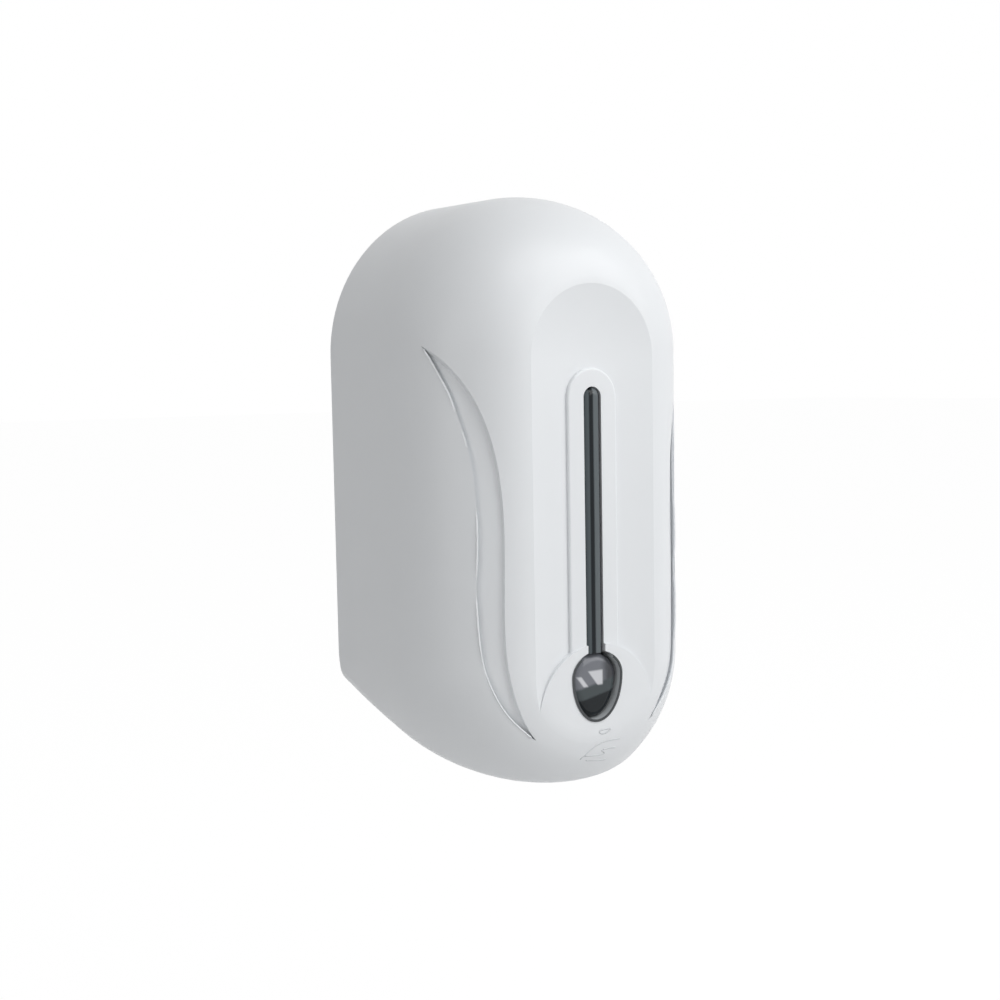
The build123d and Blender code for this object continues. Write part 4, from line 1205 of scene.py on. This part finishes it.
@dataclass
class BatteryTrim(Trim):
    """A slide arrow on the battery door, and polarity signs on the box."""

    door_step: float = 1.0 * MM
    shaft: Point = (2.2 * MM, 1.0 * MM, 6.0 * MM)
    shaft_drop: float = 8.0 * MM
    head_radius: float = 3.6 * MM
    head_drop: float = 12.4 * MM
    bar: Point = (0.8 * MM, 5.0 * MM, 1.2 * MM)
    rows: Pair = (0.27, 0.73)
    sign_inset: float = 8.0 * MM
    edge_round: float = 0.15 * MM

    def build(self) -> None:
        """Builds arrow and signs."""
        low, high = corners("battery_door")
        across, face = (low.x + high.x) / 2, low.y + self.door_step
        shaft = block("slide_arrow", self.shaft, (across, face, high.z - self.shaft_drop))
        head = disc("head", self.head_radius, self.shaft[1], (0, 0, 0), Along.Y, 3)
        tip = Matrix.Translation((across, face, high.z - self.head_drop))
        head.data.transform(tip @ Matrix.Rotation(math.pi, 4, "Y"))
        arrow = ease(combine(shaft, head, "UNION"), self.edge_round)
        self.fit([arrow], "dark_plastic", "bay_door")
        self._pole_signs()

    def _pole_signs(self) -> None:
        """A plus and a minus on each row of cells, turned about from one row to the next."""
        low, high = corners("battery_box")
        wide, long, thick = self.bar
        for number, row in enumerate(self.rows):
            height = low.z + row * (high.z - low.z)
            for end, depth in enumerate((low.y + self.sign_inset, high.y - self.sign_inset)):
                sign = block(f"pole_sign_{number}{end}", self.bar, (low.x, depth, height))
                if (number + end) % 2:
                    upright = block("upright", (wide, thick, long), (low.x, depth, height))
                    combine(sign, upright, "UNION")
                self.fit([ease(sign, self.edge_round)], "dark_plastic", "chassis")


@dataclass(frozen=True)
class Header:
    """A socket that wires plug into, open along facing, on one face of the board."""

    name: str
    size: Point
    place: Pair
    facing: Point
    above: bool = True
    wall: float = 0.8 * MM
    depth: float = 2.5 * MM
    edge_round: float = 0.2 * MM

    def build(self, under: float, over: float) -> bpy.types.Object:
        """Models the socket on the board's face at height over, or at height under when it hangs."""
        height = over + self.size[2] / 2 if self.above else under - self.size[2] / 2
        header = block(self.name, self.size, (*self.place, height))
        press(header, Vector(self.facing), self.wall, -self.depth)
        return ease(header, self.edge_round)


@dataclass
class BoardTrim(Trim):
    """Screws, chip legs, small parts and headers of the control board."""

    post_inset: float = 4.0 * MM
    post_turn: float = 17.0
    chip_back: float = 11.5 * MM
    chip_half: float = 6.75 * MM
    leg_pitch: float = 1.5 * MM
    legs: int = 8
    leg: Point = (0.5 * MM, 0.5 * MM, 0.7 * MM)
    leg_middle: Point = (0.25 * MM, 0.0, -0.45 * MM)
    foot: Point = (1.5 * MM, 0.5 * MM, 0.2 * MM)
    foot_middle: Point = (0.95 * MM, 0.0, -0.1 * MM)
    part: Point = (2.2 * MM, 1.6 * MM, 0.8 * MM)
    part_round: float = 0.1 * MM
    plated: Point = (3.2 * MM, 1.7 * MM, 0.9 * MM)
    plated_gap: Point = (2.0 * MM, 3.0 * MM, 3.0 * MM)
    part_columns: Point = (-3.0 * MM, 2.0 * MM, 7.0 * MM)
    part_rows: Pair = (0.5 * MM, -3.0 * MM)
    headers: tuple[Header, ...] = (
        Header("motor_header", (6 * MM, 10 * MM, 5 * MM), (38 * MM, -56 * MM), (-1, 0, 0)),
        Header("cell_header", (10 * MM, 6 * MM, 5 * MM), (44 * MM, -31 * MM), (0, 1, 0)),
        Header("sensor_header", (5 * MM, 8 * MM, 4 * MM), (35.5 * MM, -52 * MM), (-1, 0, 0), above=False),
    )

    def build(self) -> None:
        """Builds everything on the board."""
        low, high = corners("circuit_board")
        middle = (low + high) / 2
        columns = (low.x + self.post_inset, high.x - self.post_inset)
        rows = (low.y + self.post_inset, high.y - self.post_inset)
        posts = [(x, y, low.z) for x in columns for y in rows]
        turned = [aim(post, (0, 0, -1), self.post_turn * number) for number, post in enumerate(posts)]
        self.fit(copies(PanScrew().build(), turned, "board_screw"), "steel", "chassis")
        self._legs(Vector((middle.x, middle.y + self.chip_back, low.z)))
        self._small_parts(Vector((middle.x, middle.y, low.z)))
        for header in self.headers:
            self.fit([header.build(low.z, high.z)], "shell_white", "chassis")

    def _legs(self, chip: Vector) -> None:
        """The chip's bent legs on its two sides."""
        leg = block("chip_leg", self.leg, self.leg_middle)
        combine(leg, block("foot", self.foot, self.foot_middle), "UNION")
        places = []
        for turn, side in ((0.0, 1), (math.pi, -1)):
            for step in range(self.legs):
                along = (step - (self.legs - 1) / 2) * self.leg_pitch
                place = Matrix.Translation(chip + Vector((side * self.chip_half, along, 0.0)))
                places.append(place @ Matrix.Rotation(turn, 4, "Z"))
        self.fit(copies(leg, places, "chip_leg"), "contact_metal", "chassis")

    def _small_parts(self, middle: Vector) -> None:
        """Two rows of small parts with plated ends."""
        body = ease(block("chip_part", self.part, (0, 0, -self.part[2] / 2)), self.part_round)
        ends = block("part_ends", self.plated, (0, 0, -self.plated[2] / 2))
        combine(ends, block("gap", self.plated_gap, (0, 0, 0)), "DIFFERENCE")
        spots = [Vector((x, y, 0.0)) for x in self.part_columns for y in self.part_rows]
        places = [Matrix.Translation(middle + spot) for spot in spots]
        self.fit(copies(body, places, "chip_part"), "component_black", "chassis")
        self.fit(copies(ends, places, "part_ends"), "contact_metal", "chassis")


class Sheath(Enum):
    """Colour of a wire's sheath, as the slot that it takes its finish from."""

    DARK = "component_black"
    BLUE = "cap_blue"
    PALE = "shell_white"


@dataclass(frozen=True)
class Wire:
    """A fixed wire, with its route in millimetres."""

    name: str
    sheath: Sheath
    route: tuple[Point, ...]
    radius: float = 0.65 * MM

    def build(self) -> bpy.types.Object:
        """Lays the wire."""
        return tube(self.name, [tuple(value * MM for value in point) for point in self.route], self.radius)


@dataclass
class Harness(Trim):
    """The fixed wires between motor, cells, sensor, indicator, switch and board."""

    wires: tuple[Wire, ...] = (
        Wire("motor_wire_a", Sheath.BLUE, (
            (16.1, -77.4, -65), (19, -80.5, -65), (26, -78, -62), (31, -66, -59), (36.5, -58, -59),
        )),
        Wire("motor_wire_b", Sheath.DARK, (
            (1.3, -77.4, -65), (2, -81.5, -64), (12, -83.5, -58.5), (24, -80, -57.5), (31, -62, -58.5),
            (36.5, -54, -59),
        )),
        Wire("cell_wire_a", Sheath.BLUE, (
            (-36, -23, -58), (-35.5, -17, -58), (-26, -13.5, -57), (18, -13.5, -57), (38, -16, -58),
            (42.5, -22, -59.5), (42.5, -29.5, -59.5),
        )),
        Wire("cell_wire_b", Sheath.DARK, (
            (-40, -23, -61), (-39.5, -16, -61), (-28, -11.5, -60), (20, -11.5, -60), (41, -13, -60),
            (46, -21, -59.5), (46, -29.5, -59.5),
        )),
        Wire("sensor_wire_a", Sheath.PALE, (
            (22, -42, -90.5), (26, -42, -86), (28.5, -45, -76), (30, -50, -68), (34, -53.5, -65.6),
        )),
        Wire("sensor_wire_b", Sheath.DARK, (
            (19, -42, -90.5), (24, -41, -84), (26.5, -44, -74), (28.5, -48, -66), (34, -50.5, -65.6),
        )),
        Wire("lamp_wire_a", Sheath.PALE, (
            (6, -88.4, -57), (8, -85.5, -55.2), (20, -84.5, -54.6), (31, -79, -55), (33, -70, -57),
            (36.5, -60, -60.4),
        )),
        Wire("switch_wire", Sheath.DARK, (
            (42, -75.5, -57), (41.5, -72.5, -57.5), (37, -70, -57), (33.5, -62, -57.5), (36.5, -52.2, -57.6),
        )),
    )

    def build(self) -> None:
        """Lays every wire."""
        for wire in self.wires:
            self.fit([wire.build()], wire.sheath.value, "chassis")


@dataclass
class PlateTrim(Trim):
    """Stiffening ribs on the front of the back plate."""

    rib: float = 1.6 * MM
    height: float = 1.8 * MM
    sunk: float = 0.2 * MM
    edge_round: float = 0.3 * MM
    plate_front: float = -3.0 * MM
    rib_length: float = 150.0 * MM
    rib_middle: float = 14.0 * MM
    rib_columns: Point = (-20.0 * MM, 0.0, 20.0 * MM)
    bar_length: float = 112.0 * MM
    bar_rows: Point = (-22.0 * MM, 22.0 * MM, 66.0 * MM)

    def build(self) -> None:
        """Builds the upright ribs and the level bars."""
        thick = self.height + 2 * self.sunk
        depth = self.plate_front - self.height / 2 + self.sunk
        upright = ease(block("plate_rib", (self.rib, thick, self.rib_length), (0, 0, 0)), self.edge_round)
        columns = [Matrix.Translation((x, depth, self.rib_middle)) for x in self.rib_columns]
        self.fit(copies(upright, columns, "plate_rib"), "chassis_plastic", "chassis")
        level = ease(block("plate_bar", (self.bar_length, thick, self.rib), (0, 0, 0)), self.edge_round)
        rows = [Matrix.Translation((0, depth, z)) for z in self.bar_rows]
        self.fit(copies(level, rows, "plate_bar"), "chassis_plastic", "chassis")


# The first two find their places on the solid cover, so they come before the skin that replaces it.
ASSEMBLIES: tuple[type[Trim], ...] = (
    CoverSign, CrescentLips, CoverSkin, TankTrim, CapTrim, PumpTrim, BatteryTrim, BoardTrim, Harness, PlateTrim,
)


# ---- Studio ------------------------------------------------------------------------------------------


@dataclass(frozen=True)
class Lamp:
    """A rectangular soft box."""

    name: str
    place: Point
    size: Pair
    power: float

    def build(self, target: Vector) -> None:
        """Hangs the lamp, aimed at target."""
        data = bpy.data.lights.new(self.name, "AREA")
        data.shape = "RECTANGLE"
        data.size, data.size_y = self.size
        data.energy = self.power
        lamp = bpy.data.objects.new(self.name, data)
        bpy.context.scene.collection.objects.link(lamp)
        lamp.location = self.place
        lamp.rotation_euler = (target - Vector(self.place)).to_track_quat("-Z", "Y").to_euler()


@dataclass
class Studio:
    """Floor, soft boxes, white surroundings and camera."""

    floor_height: float = -0.32
    floor_size: float = 30.0
    floor_grey: float = 0.88
    floor_glow: float = 1.03
    floor_share: float = 0.95
    ambient: float = 0.33
    ambient_behind: float = 0.10
    ambient_turn: Pair = (-0.3, 0.5)
    target: Point = (0.0, -0.055, 0.0)
    camera_place: Point = (-0.35506, -0.60097, 0.05732)
    camera_turn: float = 31.988
    camera_tilt: float = 4.969
    camera_roll: float = -1.019
    camera_lens: float = 50.52
    camera_sensor: float = 36.0
    lamps: tuple[Lamp, ...] = (
        Lamp("key_box", (0.80, -1.25, 0.85), (1.4, 1.4), 17.0),
        Lamp("fill_box", (-1.7, -0.2, 0.3), (0.6, 1.2), 3.6),
        Lamp("top_box", (-0.1, -0.9, 1.4), (0.9, 0.9), 5.6),
    )

    def build(self) -> None:
        """Sets the whole studio."""
        self._floor()
        self._world()
        for lamp in self.lamps:
            lamp.build(Vector(self.target))
        self._camera()

    def _seen(self, graph: Graph) -> Signal:
        """1 for camera, glossy and transmission rays, 0 for the others."""
        path = graph.node("ShaderNodeLightPath")
        names = ("Is Camera Ray", "Is Glossy Ray", "Is Transmission Ray")
        eye, gloss, through = (Signal(graph, path.outputs[name]) for name in names)
        return eye.or_more(gloss).or_more(through)

    def _floor(self) -> None:
        """A plain pale floor under the part."""
        deselect()
        bpy.ops.mesh.primitive_plane_add(size=self.floor_size, location=(0, 0, self.floor_height))
        floor = bpy.context.active_object
        floor.name = "studio_floor"
        graph = Graph.material("pale_floor")
        grey = tone((self.floor_grey,) * 3)
        diffuse = graph.node("ShaderNodeBsdfDiffuse", inputs={"Color": grey})
        white = graph.node("ShaderNodeEmission", inputs={"Color": tone(WHITE), "Strength": self.floor_glow})
        share = self._seen(graph) * self.floor_share
        mixed = graph.node("ShaderNodeMixShader", inputs={0: share, 1: diffuse.outputs[0], 2: white.outputs[0]})
        graph.node("ShaderNodeOutputMaterial", inputs={"Surface": mixed.outputs[0]})
        floor.data.materials.append(graph.owner)

    def _world(self) -> None:
        """White to the eye, and a plain soft light for the part that is weaker from behind the wall."""
        world = bpy.data.worlds.new("studio")
        bpy.context.scene.world = world
        graph = Graph(world)
        split = graph.node("ShaderNodeSeparateXYZ", inputs={0: graph.places["Generated"]})
        front, behind = self.ambient_turn
        soft = graph.node("ShaderNodeMapRange", inputs={
            "Value": split.outputs["Y"], "From Min": front, "From Max": behind,
            "To Min": self.ambient, "To Max": self.ambient_behind,
        })
        strength = graph.node("ShaderNodeMapRange", inputs={
            "Value": self._seen(graph), "To Min": soft.outputs[0], "To Max": 1.0,
        })
        sky = graph.node("ShaderNodeBackground", inputs={"Color": tone(WHITE), "Strength": strength.outputs[0]})
        graph.node("ShaderNodeOutputWorld", inputs={"Surface": sky.outputs[0]})

    def _camera(self) -> None:
        """The camera, to the left of the front and a little above the middle."""
        turn, tilt, roll = (math.radians(a) for a in (self.camera_turn, self.camera_tilt, self.camera_roll))
        back = Vector((-math.sin(turn) * math.cos(tilt), -math.cos(turn) * math.cos(tilt), math.sin(tilt)))
        right = Vector((0.0, 0.0, 1.0)).cross(back).normalized()
        up = back.cross(right)
        side = right * math.cos(roll) + up * math.sin(roll)
        head = up * math.cos(roll) - right * math.sin(roll)
        data = bpy.data.cameras.new("camera")
        data.lens = self.camera_lens
        data.sensor_width = self.camera_sensor
        camera = bpy.data.objects.new("camera", data)
        bpy.context.scene.collection.objects.link(camera)
        turned = Matrix((side, head, back)).transposed().to_4x4()
        camera.matrix_world = Matrix.Translation(Vector(self.camera_place)) @ turned
        bpy.context.scene.camera = camera
        bpy.context.scene.view_settings.view_transform = "Standard"


def main() -> None:
    """Dresses the part, then sets the studio."""
    logging.basicConfig(level=logging.INFO, format="%(name)s: %(message)s")
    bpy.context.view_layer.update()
    finishes = Finishes()
    finishes.dress_nodes()
    for assembly in ASSEMBLIES:
        LOG.info("builds %s", assembly.__name__)
        assembly(finishes).build()
    Studio().build()


if __name__ == "__main__":
    main()
